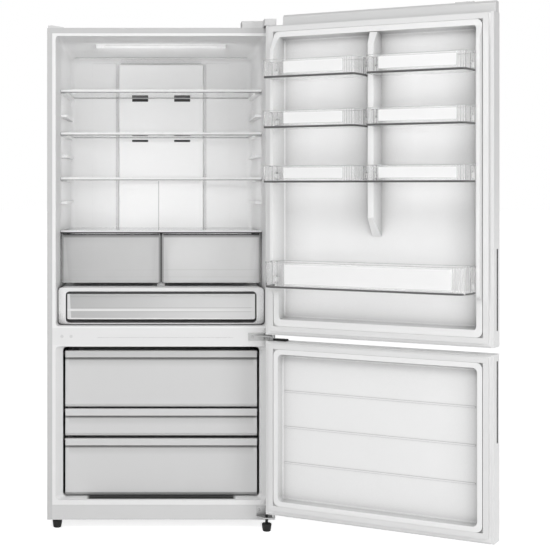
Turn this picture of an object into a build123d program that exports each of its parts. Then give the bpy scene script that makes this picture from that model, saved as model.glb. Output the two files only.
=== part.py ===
from build123d import *
import os
from math import radians, tan

# Bottom freezer refrigerator, millimetres. +Z is up, -Y is the front and +X is the hinge side.
# The origin lies on the floor, under the middle of the cabinet's footprint.
# The doors stand open as at rest; every other piece is in its home place.
# A depth is counted back from the cabinet's front, and a half is counted from its middle.

# ---- Cabinet ---------------------------------------------------------------------------
cabinet_width = 790.0
cabinet_depth = 650.0
cabinet_height = 1704.0
foot_height = 30.0
sheet = 0.8
side_flange = 17.6
top_flange = 19.0
side_rim = 12.0
top_rim = 9.0
shell_corner = 4.0
swage_half = 260.0
swage_width = 26.0
swage_rise = 3.0
swage_margin = 90.0

# ---- Liners and insulation --------------------------------------------------------------
liner_wall = 2.0
rim_plate = 2.0
base_rail_height = 52.0
base_rim = 16.0
freezer_mouth_height = 532.0
mullion_height = 58.0
mullion_rim = 6.0
groove_rise = 25.0
groove_width = 1.2
groove_insets = (175.0, 145.6)

fridge_step_depth = 125.0
fridge_step_inset = 6.7
fridge_back_inset = 15.4
fridge_rear_insulation = 100.0
fridge_ceiling_drop = 25.0
fridge_corners = (10.0, 14.0, 26.0)
fridge_back_fillet = 22.0
back_pad_half = 265.0
back_pad_rise = 2.5

freezer_flare_depth = 36.0
freezer_flare_inset = 22.4
freezer_flare_rise = 5.0
freezer_back_inset = 25.4
freezer_rear_insulation = 90.0
freezer_corner = 14.0
freezer_back_fillet = 12.0

chamber_depth = 205.0
chamber_height = 235.0
chamber_insulation = 45.0

# ---- Base and rear rollers --------------------------------------------------------------
base_sheet = 1.2
channel_depth = 30.0
channel_rise = 8.0
tray_sheet = 1.5
tray_ramp = 24.0
tray_lip = 14.0
roller_radius = 22.0
roller_width = 22.0
roller_inset = 60.0
roller_setback = 60.0
roller_chamfer = 3.0
axle_radius = 4.0
axle_overhang = 8.0
ear_clearance = 1.5
ear_thickness = 3.0
ear_foot = 14.0
ear_tip = 9.0

# ---- Shelves ----------------------------------------------------------------------------
running_gap = 0.3
shelf_names = ("shelf_top", "shelf_middle", "shelf_bottom")
shelf_drops = (177.0, 329.0, 489.0)
spare_rib_drops = (265.0, 409.0)
low_rib_rise = 104.0
shelf_front = 125.0
shelf_rear_gap = 11.0
glass_thickness = 4.0
glass_side_gap = 4.0
trim_height = 9.0
trim_depth = 16.0
trim_side_gap = 1.2
trim_cover = 3.0
trim_lip = 1.5
trim_rounding = 2.2
rear_trim_depth = 12.0
rear_trim_inset = 12.0
rear_trim_rise = 4.0
rib_reach = 10.0
rib_height = 9.0
rib_front = 150.0

# ---- Duct cover and lamp ----------------------------------------------------------------
duct_half = 167.0
duct_depth = 24.0
duct_rise = 24.0
duct_drop = 47.0
duct_draft = 14.0
duct_wall = 2.5
vent_width = 62.0
vent_x = 81.0
vent_rows = ((0, 12.5, 11.0), (1, 17.0, 8.5))
channel_width = 19.0
channel_sink = 1.2
lamp_front = 200.0
lamp_length = 225.0
lamp_half = 236.0
lamp_drop = 16.0
lens_half = 203.0
lens_height = 8.0
lens_gap = 0.3

# ---- Crispers ---------------------------------------------------------------------------
crisper_front = 128.0
crisper_height = 173.0
crisper_floor_gap = 12.0
crisper_cover_gap = 12.0
crisper_inner = 2.3
crisper_side_gap = 4.7
crisper_rear_gap = 7.0
crisper_drop = 6.0
crisper_tub_inner = 16.0
crisper_tub_inset = 22.0
crisper_lip = 6.0
cover_rib_width = 27.0
divider_half = 3.0
divider_setback = 8.0
divider_rail_half = 12.0
divider_foot_half = 14.0
divider_foot_depth = 26.0

# ---- Chill drawer -----------------------------------------------------------------------
chill_front = 50.0
chill_bezel_depth = 12.0
chill_bezel_height = 129.0
chill_bezel_gap = 1.0
chill_bezel_band = 13.0
chill_opening_inset = 16.0
chill_opening_rise = 6.0
chill_drawer_side_gap = 2.0
chill_drawer_rise = 12.0
chill_drawer_height = 95.0
chill_lip = 5.0
chill_rear_gap = 15.0
deck_thickness = 5.0
deck_side_gap = 3.0
cheek_wall = 3.0

# ---- Freezer drawers --------------------------------------------------------------------
freezer_names = ("freezer_drawer_top", "freezer_drawer_middle", "freezer_drawer_bottom")
freezer_floor_gap = 10.0
freezer_step_gap = 5.0
freezer_middle_height = 92.0
freezer_between = (9.0, 12.0)
freezer_top_gap = 19.0
freezer_rear_gap = 13.0
freezer_riser_gap = 15.0
freezer_front = 45.0
freezer_side_gap = 8.0
handle_band = 24.0
handle_reach = 15.0
panel_wall = 3.0
panel_bend = 3.2

# ---- Drawer tubs ------------------------------------------------------------------------
tub_wall = 2.2
tub_corner = 14.0
tub_draft = 3.0
tub_flange = 3.0
tub_side_gap = 5.0
flange_reach = 11.0

# ---- Doors ------------------------------------------------------------------------------
door_thickness = 62.0
door_gap = 11.0
door_side_gap = 0.5
door_open_angle = 149.6
hinge_inset = 10.8
hinge_setback = 34.0
upper_door_rise = 14.0
upper_door_drop = 2.0
lower_door_drop = 8.0
lower_door_rise = 36.0
facade_rise = 36.0
facade_start = 50.0
facade_end = 3.0
facade_depth = 30.0
facade_tab = (651.0, 710.0)
cap_thickness = 5.0
cap_foot = (58.0, 114.0)
skin_return = 10.0
skin_corner = 3.0
door_liner_wall = 1.6
hinge_block = 28.0
dam_start = 34.0
dam_width = 11.0
dam_height = 38.0
dam_rise = 11.0
dam_drop = 23.0
dam_tall_rise = 132.0
dam_tall_drop = 41.0
dam_bend = 24.0
low_rim_height = 10.0
pan_depth = 20.0
pan_draft = 16.0
door_divider_half = 10.0
door_divider_spread = 6.0
door_divider_slant = 65.0
door_divider_above = 17.0
lower_rim_rise = 3.0
lower_rim_over = 2.0
lower_rim_width = 16.0
lower_rim_height = 11.0
lower_pan_depth = 15.0
pan_ridge_rise = 146.0
pan_ridge_pitch = 121.0
pan_ridge_width = 4.0
grip_rise = 51.0
grip_height = 258.0
lower_grip_drop = 22.0
grip_width = 12.0
grip_depth = 25.0
grip_wall = 1.5
grip_setback = 36.0
gasket_start = 14.0
gasket_width = 18.0
gasket_clearance = 0.3
gasket_to_rim = 0.5

# ---- Door bins --------------------------------------------------------------------------
bin_front = 128.0
bin_wall = 2.0
bin_end = 51.5
bin_middle_gap = 20.0
bin_shoulder = 43.0
bin_back = 4.0
bin_flares = (6.0, 7.0)
bin_corner = 10.0
bin_rows = (("upper", 189.0, 60.0), ("middle", 355.0, 58.0), ("lower", 535.0, 56.0))
wide_bin_rise = 6.0
wide_bin_height = 86.0
wide_bin_corner = 34.0
lug_b = (14.0, 30.0)
lug_rise = 14.0
lug_height = 16.0
bead_height = 5.0
bead_width = 1.2
hook_reach = 8.0
hook_height = 5.0

# ---- Hinges and feet --------------------------------------------------------------------
pin_radius = 4.0
pin_clearance = 0.05
pin_reach = 18.0
pin_chamfer = 0.8
nose_wall = 3.5
bracket_thickness = 4.0
plate_thickness = 3.0
top_plate_reach = 84.0
top_plate_depths = (10.0, 70.0)
leaf_reach = 64.0
leaf_plate_reach = (82.0, 28.0)
leaf_plate_below = 15.0
leaf_plate_above = 11.0
shoe_reach = 54.0
shoe_rise = 14.0
shoe_plate_height = 34.0
hinge_cover_height = 24.0
hinge_cover_wall = 1.6
hinge_cover_reach = (104.0, 30.5)
hinge_cover_depths = (4.0, 80.0)
hinge_cover_nose = 17.0
corner_cap_depth = 44.0
plug_insets = (51.5, 83.0)
plug_radius = 5.5
plug_rise = 1.4
foot_inset = 34.0
left_foot_depth = 20.0
right_foot_inset = 21.0
right_foot_depth = -35.0
foot_radius = 16.8
foot_tip_radius = 13.5
foot_gap = 3.0
foot_cone = 20.0
foot_chamfer = 1.5
foot_stem_radius = 5.0
foot_stem_reach = 34.0

# ---- Machine chamber --------------------------------------------------------------------
compressor_radius = 74.0
compressor_height = 170.0
compressor_inset = 185.0
compressor_crown = 30.0
compressor_seam = 5.0
compressor_lift = 14.0
cradle_reach = 21.0
cradle_depth = 128.0
cradle_sheet = 4.0
grommet_radius = 10.0
grommet_inset = 14.0
terminal_box = (26.0, 48.0, 62.0)
tube_radius = 3.2
coil_x = (-90.0, 60.0)
coil_rise = 34.0
coil_drop = 41.0
coil_passes = 5
coil_support = 1.6
pan_inset = 85.0
pan_to_coil = 18.8
pan_height = 62.0
pan_depths = (20.0, 30.0)
machine_cover_edge = 5.0
machine_cover_gap = 0.4
louvre_size = (7.0, 70.0)
louvre_pitch = (20.0, 86.0)
louvre_columns = 13
gland_inset = 65.0
gland_rise = 90.0
gland_hole_radius = 8.0
gland_bore_radius = 4.5
control_box_x = -90.0
control_box_rise = 915.0
control_box_size = (230.0, 170.0)
control_box_depth = 14.0

# ---- Cold air parts ---------------------------------------------------------------------
fan_drop = 68.0
fan_radius = 46.0
fan_blades = 5
blade_pitch = 32.0
blade_size = (36.0, 22.0, 1.6)
hub_radius = 12.0
hub_depth = 16.0
shaft_radius = 2.0
motor_radius = 20.0
shroud_gap = 6.0
shroud_wall = 3.0
shroud_depth = 40.0
grille_bar = 2.6
grille_radii = (14.0, 26.0, 38.0)
evaporator_cover_setback = 92.0
evaporator_cover_thickness = 16.0
air_slot_x = 220.0
air_slot = (120.0, 9.0)
evaporator_half = 235.0
evaporator_tube = 4.0
evaporator_passes = 4
evaporator_plate_half = 212.0
fin_count = 9
fin_pitch = 50.0
fin_sheet = 1.6
fin_depth = 46.0
fin_setback = 14.0

# ---- Places worked out from the sizes above ---------------------------------------------
front = -cabinet_depth / 2
rear = cabinet_depth / 2
base = foot_height
top = base + cabinet_height
half = cabinet_width / 2
inner_half = half - sheet
flange_half = half - side_flange
mouth_half = flange_half - side_rim
freezer_mouth_low = base + base_rail_height + base_rim
freezer_mouth_high = freezer_mouth_low + freezer_mouth_height
mullion_low = freezer_mouth_high + mullion_rim
mullion_high = mullion_low + mullion_height
mullion_middle = (mullion_low + mullion_high) / 2
fridge_mouth_low = mullion_high + mullion_rim
fridge_mouth_high = top - top_flange - top_rim

fridge_step_half = mouth_half - fridge_step_inset
fridge_back_half = mouth_half - fridge_back_inset
fridge_back_depth = cabinet_depth - fridge_rear_insulation
freezer_flare_half = mouth_half - freezer_flare_inset
freezer_back_half = mouth_half - freezer_back_inset
freezer_back_depth = cabinet_depth - freezer_rear_insulation
chamber_top = base + chamber_height
chamber_front = cabinet_depth - chamber_depth
step_riser = chamber_front - chamber_insulation
step_tread = chamber_top + chamber_insulation

shelf_heights = [fridge_mouth_high - drop for drop in shelf_drops]
shelf_rear = fridge_back_depth - duct_depth - shelf_rear_gap
glass_half = fridge_back_half - glass_side_gap
rear_trim_half = glass_half - rear_trim_inset
rib_inner_half = glass_half - rib_reach
duct_low = fridge_mouth_low + duct_rise
duct_high = fridge_mouth_high - duct_drop

chill_bezel_bottom = fridge_mouth_low + chill_bezel_gap
chill_bezel_top = chill_bezel_bottom + chill_bezel_height
chill_opening_low = chill_bezel_bottom + chill_opening_rise
chill_opening_high = chill_bezel_top - chill_bezel_band
chill_opening_half = fridge_back_half - chill_opening_inset
chill_drawer_half = chill_opening_half - chill_drawer_side_gap
chill_drawer_low = chill_opening_low + chill_drawer_rise
chill_drawer_high = chill_drawer_low + chill_drawer_height
chill_rear = shelf_rear - chill_rear_gap
deck_half = fridge_back_half - deck_side_gap
crisper_low = chill_bezel_top + crisper_floor_gap
crisper_high = crisper_low + crisper_height
crisper_cover_top = crisper_high + crisper_cover_gap
crisper_outer = fridge_step_half - crisper_side_gap
crisper_rear = shelf_rear - crisper_rear_gap
divider_front = crisper_front + divider_setback
cover_glass_low = crisper_cover_top - glass_thickness
cover_frame_low = cover_glass_low - glass_thickness
crisper_tub_outer = crisper_outer - crisper_tub_inset
crisper_runner = crisper_high - crisper_drop - tub_flange - running_gap

evaporator_cover_depth = freezer_back_depth - evaporator_cover_setback
freezer_middle_low = step_tread + freezer_step_gap
freezer_middle_high = freezer_middle_low + freezer_middle_height
freezer_lows = (freezer_middle_high + freezer_between[0], freezer_middle_low,
                freezer_mouth_low + freezer_floor_gap)
freezer_highs = (freezer_mouth_high - freezer_top_gap, freezer_middle_high,
                 freezer_middle_low - freezer_between[1])
freezer_long = evaporator_cover_depth - freezer_rear_gap
freezer_rears = (freezer_long, freezer_long, step_riser - freezer_riser_gap)
freezer_front_half = freezer_flare_half - freezer_side_gap
freezer_tub_half = freezer_front_half - flange_reach - tub_side_gap

door_width = cabinet_width - 2 * door_side_gap
upper_door_low = mullion_middle + upper_door_rise
upper_door_high = top - upper_door_drop
lower_door_low = base + lower_door_rise
lower_door_high = mullion_middle - lower_door_drop
dam_low = fridge_mouth_low + dam_rise
dam_high = upper_door_high - dam_drop
dam_tall_from = dam_low + dam_tall_rise
dam_tall_to = dam_high - dam_tall_drop
bin_lows = [upper_door_high - drop for row, drop, tall in bin_rows]
wide_bin_low = dam_tall_from + wide_bin_rise
wide_bin_high = wide_bin_low + wide_bin_height
door_divider_full = (wide_bin_high + bin_lows[-1]) / 2 + door_divider_above
door_divider_tip = door_divider_full - door_divider_slant
lower_rim_low = freezer_mouth_low + lower_rim_rise
lower_rim_high = freezer_mouth_high + lower_rim_over
grip_low = upper_door_low + grip_rise
lower_grip_low = lower_door_high - lower_grip_drop - grip_height

hinge_x = half - door_side_gap - hinge_inset
hinge_y = front - door_gap - hinge_setback
cap_reach = 2 * hinge_inset + 6
foot_x = half - foot_inset
right_foot_x = hinge_x - right_foot_inset
stem_top = base + foot_stem_reach
roller_x = half - roller_inset
fan_height = freezer_mouth_high - fan_drop

pieces = []


def keep(part, name):
    """Label a finished piece and remember it for the export at the end."""
    part.label = name
    pieces.append(part)


def facing(depth):
    """The upright plane at a depth behind the cabinet's front, seen from the front."""
    return Plane.XZ.offset(-(front + depth))


def box(x, depths, z, mode=Mode.ADD):
    """A plain block between two corners, its depths counted from the cabinet's front."""
    with BuildSketch(facing(depths[0])) as outline:
        with Locations(((x[0] + x[1]) / 2, (z[0] + z[1]) / 2)):
            Rectangle(x[1] - x[0], z[1] - z[0])
    return extrude(outline.sketch, amount=-(depths[1] - depths[0]), mode=mode)


def line_at(points, depth):
    """The value at a depth on a line of (depth, value) points."""
    for (near, low), (far, high) in zip(points, points[1:]):
        if depth <= far:
            return low + (high - low) * (depth - near) / (far - near)
    return points[-1][1]


# ---- Compartments -----------------------------------------------------------------------
fridge_walls = ((0.0, mouth_half), (fridge_step_depth, fridge_step_half),
                (fridge_back_depth, fridge_back_half))
freezer_walls = ((0.0, mouth_half), (freezer_flare_depth, freezer_flare_half),
                 (freezer_back_depth, freezer_back_half))


def fridge_ceiling(depth):
    """The height of the sloping ceiling at a depth."""
    return fridge_mouth_high - fridge_ceiling_drop * depth / fridge_back_depth


def tunnel(sections, grow, back_fillet):
    """A tapering cavity through rounded outlines (depth, half width, low, high, corner)."""
    outlines = []
    for depth, wide, low, high, corner in sections:
        reach = grow if depth == sections[-1][0] else 0.0
        with BuildSketch(facing(depth + reach)) as outline:
            with Locations((0, (low + high) / 2)):
                RectangleRounded(2 * (wide + grow), high - low + 2 * grow, corner + grow)
        outlines.append(outline.sketch)
    with BuildPart() as form:
        loft(outlines, ruled=True)
        fillet(form.faces().sort_by(Axis.Y)[-1].edges(), back_fillet + grow)
    return form.part


def fridge_space(grow=0.0):
    """The upper compartment's cavity, or the outside of its liner when grown by a wall."""
    sections = []
    for (depth, wide), corner in zip(fridge_walls, fridge_corners):
        sections.append((depth, wide, fridge_mouth_low, fridge_ceiling(depth), corner))
    return tunnel(sections, grow, fridge_back_fillet)


def freezer_space(grow=0.0):
    """The lower compartment's cavity, stepped over the machine chamber."""
    sections = []
    for depth, wide in freezer_walls:
        rise = freezer_flare_rise if depth else 0.0
        low = freezer_mouth_low + rise
        sections.append((depth, wide, low, freezer_mouth_high - rise, freezer_corner))
    with BuildPart() as space:
        add(tunnel(sections, grow, freezer_back_fillet))
        box((-half, half), (step_riser + grow, cabinet_depth), (base, step_tread - grow), Mode.SUBTRACT)
    return space.part


def wall_rib(walls, inner, low, high, depths, mode=Mode.ADD):
    """A pair of ledges along both side walls, reaching a little into the wall."""
    bite = liner_wall / 2
    with BuildSketch(Plane.XY.offset(low)) as plan:
        for side in (-1, 1):
            near = (side * (line_at(walls, depths[0]) + bite), front + depths[0])
            far = (side * (line_at(walls, depths[1]) + bite), front + depths[1])
            with BuildLine():
                Polyline((side * inner, near[1]), near, far, (side * inner, far[1]), close=True)
            make_face()
    return extrude(plan.sketch, amount=high - low, mode=mode)


def rim_frame(low, high, mouth_low, mouth_high, corner):
    """The flat rim that joins a liner's mouth to the steel around it."""
    with BuildSketch(facing(0)) as ring:
        with Locations((0, (low + high) / 2)):
            Rectangle(2 * (mouth_half + side_rim), high - low)
        with Locations((0, (mouth_low + mouth_high) / 2)):
            RectangleRounded(2 * mouth_half, mouth_high - mouth_low, corner, mode=Mode.SUBTRACT)
    extrude(ring.sketch, amount=-rim_plate)


with BuildPart() as fridge_liner:
    add(fridge_space(liner_wall))
    rim_frame(mullion_high, fridge_mouth_high + top_rim, fridge_mouth_low, fridge_mouth_high,
              fridge_corners[0])
    add(fridge_space(), mode=Mode.SUBTRACT)
    rib_tops = [height - trim_lip - glass_thickness - running_gap for height in shelf_heights]
    rib_tops += [fridge_mouth_high - drop for drop in spare_rib_drops]
    rib_tops.append(crisper_cover_top + low_rib_rise)
    for rib_top in rib_tops:
        wall_rib(fridge_walls, rib_inner_half, rib_top - rib_height, rib_top, (rib_front, shelf_rear))
    wall_rib(fridge_walls, glass_half - 1, cover_frame_low - 6, cover_frame_low, (rib_front, shelf_rear))
    wall_rib(fridge_walls, crisper_tub_outer + running_gap + tub_wall, crisper_runner - rib_height,
             crisper_runner, (rib_front, crisper_rear))
    for side in (-1, 1):
        pad_x = sorted((side * (duct_half + tub_corner / 2), side * back_pad_half))
        pad_depths = (fridge_back_depth - back_pad_rise, fridge_back_depth + liner_wall / 2)
        box(pad_x, pad_depths, (duct_low, duct_high))
keep(fridge_liner.part, "fridge_liner")

with BuildPart() as freezer_liner:
    add(freezer_space(liner_wall))
    rim_frame(base + base_rail_height, mullion_low, freezer_mouth_low, freezer_mouth_high,
              freezer_corner)
    add(freezer_space(), mode=Mode.SUBTRACT)
    for high, back in zip(freezer_highs, freezer_rears):
        runner = high - panel_wall - tub_flange - running_gap
        depths = (freezer_front + 2 * handle_reach, back)
        inner = freezer_tub_half + running_gap + tub_wall
        wall_rib(freezer_walls, inner, runner - rib_height, runner, depths)
keep(freezer_liner.part, "freezer_liner")

# ---- Steel around the compartments ------------------------------------------------------
with BuildPart() as cabinet_shell:
    with BuildSketch(facing(0)):
        with Locations((0, (base + top) / 2)):
            RectangleRounded(cabinet_width, cabinet_height, shell_corner)
        with Locations((0, base)):
            Rectangle(cabinet_width, 4 * shell_corner)
    extrude(amount=-cabinet_depth)
    box((-half, half), (0, cabinet_depth), (base - 4 * shell_corner, base), Mode.SUBTRACT)
    with BuildSketch(facing(sheet)):
        with Locations((0, (base + top) / 2)):
            RectangleRounded(2 * inner_half, cabinet_height - 2 * sheet, shell_corner - sheet)
        with Locations((0, base)):
            Rectangle(2 * inner_half, 4 * shell_corner)
    extrude(amount=-cabinet_depth, mode=Mode.SUBTRACT)
    box((-flange_half, flange_half), (0, sheet), (base, top - top_flange), Mode.SUBTRACT)
keep(cabinet_shell.part, "cabinet_shell")

with BuildPart() as mullion_cover:
    box((-flange_half, flange_half), (0, rim_plate), (mullion_low, mullion_high))
    groove_x = (groove_insets[0] - half, half - groove_insets[1])
    groove_low = mullion_low + groove_rise - groove_width / 2
    box(groove_x, (0, sheet), (groove_low, groove_low + groove_width), Mode.SUBTRACT)
keep(mullion_cover.part, "mullion_cover")

with BuildPart() as rear_panel:
    box((-inner_half, inner_half), (cabinet_depth - sheet, cabinet_depth), (chamber_top, top - sheet))
    fillet(rear_panel.edges().filter_by(Axis.Y).group_by(Axis.Z)[-1], shell_corner - sheet)
    swage_height = cabinet_height - chamber_height - 2 * swage_margin
    for inset, mode in ((0, Mode.ADD), (sheet, Mode.SUBTRACT)):
        with BuildSketch(facing(cabinet_depth - inset)) as swages:
            with Locations((0, (chamber_top + top) / 2)):
                with GridLocations(2 * swage_half, 0, 2, 1):
                    RectangleRounded(swage_width - 2 * inset, swage_height - 2 * inset, swage_width / 4)
        extrude(swages.sketch, amount=-swage_rise, taper=30, mode=mode)
keep(rear_panel.part, "rear_panel")

# ---- Base: one bent sheet from the front rail to the roof of the machine chamber --------
floor_sheet = base + channel_rise
roof_end = cabinet_depth - sheet
ear_gap = roller_width / 2 + ear_clearance
roller_depth = cabinet_depth - roller_setback
cover_depth = cabinet_depth - base_sheet - running_gap
tray_end = cabinet_depth - tray_lip + 2
tray_start = chamber_front - tray_ramp
with BuildPart() as base_frame:
    with BuildSketch(Plane.YZ):
        with BuildLine() as bends:
            Polyline((front, base + base_rail_height), (front, base), (front + channel_depth, base),
                     (front + channel_depth, floor_sheet), (front + chamber_front, floor_sheet),
                     (front + chamber_front, chamber_top), (front + roof_end, chamber_top))
            offset(amount=base_sheet, side=Side.LEFT)
        make_face()
    extrude(amount=inner_half, both=True)
    for side in (-1, 1):
        behind_flange = sorted((side * flange_half, side * half))
        box(behind_flange, (0, sheet), (base, base + base_rail_height), Mode.SUBTRACT)
    with BuildSketch(Plane.YZ):
        with BuildLine():
            Polyline((front + tray_start, floor_sheet - base_sheet),
                     (front + tray_start + tray_ramp / 2, floor_sheet - base_sheet),
                     (front + chamber_front, base), (front + tray_end, base),
                     (front + tray_end, base + tray_lip))
            offset(amount=tray_sheet, side=Side.LEFT)
        make_face()
    extrude(amount=inner_half, both=True)
    for side in (-1, 1):
        cheek = sorted((side * inner_half, side * (inner_half - base_sheet)))
        box(cheek, (chamber_front - base_sheet, cover_depth - running_gap), (base, chamber_top))
        box((side * roller_x - ear_gap, side * roller_x + ear_gap),
            (roller_depth - roller_radius - ear_thickness, roller_depth + roller_radius + ear_thickness),
            (base - tray_sheet, base + 2 * tray_sheet), Mode.SUBTRACT)
    with BuildSketch(Plane.YZ) as ear:
        with BuildLine():
            ear_y = front + roller_depth
            ear_low = roller_radius - 2 * axle_radius
            Polyline((ear_y - ear_foot, base + 1), (ear_y + ear_foot, base + 1),
                     (ear_y + ear_tip, ear_low), (ear_y - ear_tip, ear_low), close=True)
        make_face()
        fillet(ear.vertices().group_by(Axis.Y)[0], axle_radius + 1)
        with Locations((front + roller_depth, roller_radius)):
            Circle(axle_radius + pin_clearance, mode=Mode.SUBTRACT)
    for centre in (-roller_x, roller_x):
        for side in (-1, 1):
            start = centre + side * (ear_gap + ear_thickness / 2)
            ears = extrude(ear.sketch.moved(Pos(start, 0, 0)), amount=ear_thickness / 2, both=True,
                           mode=Mode.PRIVATE)
            add(ears)
    with Locations((-foot_x, front + left_foot_depth, base + base_sheet)):
        Hole(foot_stem_radius + pin_clearance, depth=2 * base_sheet)
keep(base_frame.part, "base_frame")

# ---- Insulation -------------------------------------------------------------------------
with BuildPart() as cabinet_insulation:
    box((-inner_half, inner_half), (rim_plate, cabinet_depth - sheet),
        (floor_sheet + base_sheet, top - sheet))
    vertical = cabinet_insulation.edges().filter_by(Axis.Y).group_by(Axis.Z)[-1]
    fillet(vertical, shell_corner - sheet)
    box((-half, half), (chamber_front - base_sheet, cabinet_depth), (base, chamber_top + base_sheet),
        Mode.SUBTRACT)
    add(fridge_space(liner_wall), mode=Mode.SUBTRACT)
    add(freezer_space(liner_wall), mode=Mode.SUBTRACT)
    with Locations((-foot_x, front + left_foot_depth, floor_sheet)):
        Cylinder(foot_stem_radius + 2, 2 * (stem_top + 6 - floor_sheet), mode=Mode.SUBTRACT)
keep(cabinet_insulation.part, "cabinet_insulation")

# ---- Fridge fittings --------------------------------------------------------------------
def hollow_form(plane, centre, size, height, corner, draft, wall, edge):
    """An open, drafted shell that stands on a plane, with its closed face rounded over."""
    solids = []
    for inset in (0.0, wall):
        with BuildPart() as form:
            with BuildSketch(plane):
                with Locations(centre):
                    RectangleRounded(size[0] - 2 * inset, size[1] - 2 * inset, corner - inset)
            extrude(amount=height - inset, taper=draft)
            crown = form.faces().sort_by(Axis(plane.origin, plane.z_dir))[-1]
            fillet(crown.edges(), edge - inset / 2)
        solids.append(form.part)
    with BuildPart() as shell:
        add(solids[0])
        add(solids[1], mode=Mode.SUBTRACT)
    return shell.part


duct_front = fridge_back_depth - duct_depth
with BuildPart() as duct_cover:
    add(hollow_form(facing(fridge_back_depth), (0, (duct_low + duct_high) / 2),
                    (2 * duct_half, duct_high - duct_low), duct_depth, 10, duct_draft, duct_wall, 4))
    with BuildSketch(facing(duct_front)) as vents:
        for shelf, drop, tall in vent_rows:
            with Locations((0, shelf_heights[shelf] - drop)):
                with GridLocations(2 * vent_x, 0, 2, 1):
                    RectangleRounded(vent_width, tall, 2)
    extrude(vents.sketch, amount=-2 * duct_wall, mode=Mode.SUBTRACT)
    with BuildSketch(facing(duct_front)) as channel:
        with Locations((0, (duct_low + shelf_heights[-1]) / 2)):
            RectangleRounded(channel_width, shelf_heights[-1] - duct_low - channel_width, channel_width / 4)
    extrude(channel.sketch, amount=-channel_sink, mode=Mode.SUBTRACT)
keep(duct_cover.part, "duct_cover")

lamp_rear = lamp_front + lamp_length
lens_low = fridge_ceiling(lamp_front) - 0.75 * lamp_drop
lens_depth = 1.0
with BuildPart() as lamp_housing:
    with BuildSketch(Plane.YZ):
        with BuildLine():
            Polyline((front + lamp_front, fridge_ceiling(lamp_front)),
                     (front + lamp_rear, fridge_ceiling(lamp_rear)),
                     (front + lamp_rear - lamp_drop, fridge_ceiling(lamp_rear) - 0.6 * lamp_drop),
                     (front + lamp_front + lamp_drop, fridge_ceiling(lamp_front) - lamp_drop),
                     (front + lamp_front, fridge_ceiling(lamp_front) - 0.8 * lamp_drop), close=True)
        make_face()
    extrude(amount=lamp_half, both=True)
    fillet(lamp_housing.edges().filter_by(Axis.Z), 6)
    box((-lens_half, lens_half), (lamp_front, lamp_front + lens_height), (lens_low, lens_low + lens_height),
        Mode.SUBTRACT)
keep(lamp_housing.part, "lamp_housing")

with BuildPart() as lamp_lens:
    box((lens_gap - lens_half, lens_half - lens_gap), (lamp_front - lens_depth, lamp_front + lens_height),
        (lens_low + lens_gap, lens_low + lens_height - lens_gap))
    fillet(lamp_lens.edges().filter_by(Axis.X).group_by(Axis.Y)[0], 1.5)
keep(lamp_lens.part, "lamp_lens")


def glass_pane(height):
    """A flat pane whose top lies at the given height."""
    with BuildPart() as pane:
        box((-glass_half, glass_half), (shelf_front + trim_cover, shelf_rear - trim_cover),
            (height - glass_thickness, height))
    return pane.part


def front_trim(height):
    """The moulded bar that holds a pane's front edge, rounded at its face."""
    with BuildPart() as bar:
        wide = line_at(fridge_walls, shelf_front) - trim_side_gap
        box((-wide, wide), (shelf_front, shelf_front + trim_depth), (height - trim_height, height + trim_lip))
        fillet(bar.edges().filter_by(Axis.X).group_by(Axis.Y)[0], trim_rounding)
    return bar.part


for name, height in zip(shelf_names, shelf_heights):
    pane_top = height - trim_lip
    keep(glass_pane(pane_top), name + "_glass")
    with BuildPart() as trim:
        add(front_trim(pane_top))
        box((-rear_trim_half, rear_trim_half), (shelf_rear - rear_trim_depth, shelf_rear),
            (pane_top - glass_thickness - trim_lip, pane_top + rear_trim_rise))
        add(glass_pane(pane_top), mode=Mode.SUBTRACT)
    keep(trim.part, name + "_trim")

keep(glass_pane(crisper_cover_top), "crisper_cover_glass")
with BuildPart() as crisper_cover_frame:
    add(front_trim(crisper_cover_top))
    frame_z = (cover_frame_low, cover_glass_low)
    box((-glass_half - trim_cover, glass_half + trim_cover), (rib_front, shelf_rear), frame_z)
    box((trim_cover - glass_half, glass_half - trim_cover), (shelf_front + trim_cover, shelf_rear), frame_z)
    for side in (-1, 1):
        window = sorted((side * divider_foot_half, side * (glass_half - cover_rib_width)))
        box(window, (shelf_front + cover_rib_width, shelf_rear - cover_rib_width), frame_z, Mode.SUBTRACT)
    box((-divider_half, divider_half), (divider_front, crisper_rear),
        (chill_bezel_top, cover_glass_low))
    box((-divider_rail_half, divider_rail_half), (divider_front, crisper_rear),
        (crisper_runner - tub_flange, crisper_runner))
    box((-divider_foot_half, divider_foot_half), (divider_front, divider_front + divider_foot_depth),
        (chill_bezel_top, crisper_low - 1.5))
    add(glass_pane(crisper_cover_top), mode=Mode.SUBTRACT)
keep(crisper_cover_frame.part, "crisper_cover_frame")


# ---- Drawers ----------------------------------------------------------------------------
def tub(x, depths, z, corner=tub_corner):
    """An open tray, drafted towards its floor."""
    mouth = Plane(origin=(0, 0, z[1]), x_dir=(1, 0, 0), z_dir=(0, 0, -1))
    centre = ((x[0] + x[1]) / 2, -front - (depths[0] + depths[1]) / 2)
    size = (x[1] - x[0], depths[1] - depths[0])
    return hollow_form(mouth, centre, size, z[1] - z[0], corner, tub_draft, tub_wall, 7)


def mouth_flange(x, depths, z_top, corner=tub_corner):
    """The flat flange around a tub's mouth, which runs on the side ledges."""
    middle = (x[0] + x[1]) / 2
    centre = front + (depths[0] + depths[1]) / 2
    with BuildSketch(Plane.XY.offset(z_top - tub_flange)) as ring:
        with Locations((middle, centre)):
            RectangleRounded(x[1] - x[0] + 2 * flange_reach, depths[1] - depths[0], corner / 2)
            RectangleRounded(x[1] - x[0] - 2 * tub_wall, depths[1] - depths[0] - 2 * tub_wall,
                             corner - tub_wall, mode=Mode.SUBTRACT)
    extrude(ring.sketch, amount=tub_flange)


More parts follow.
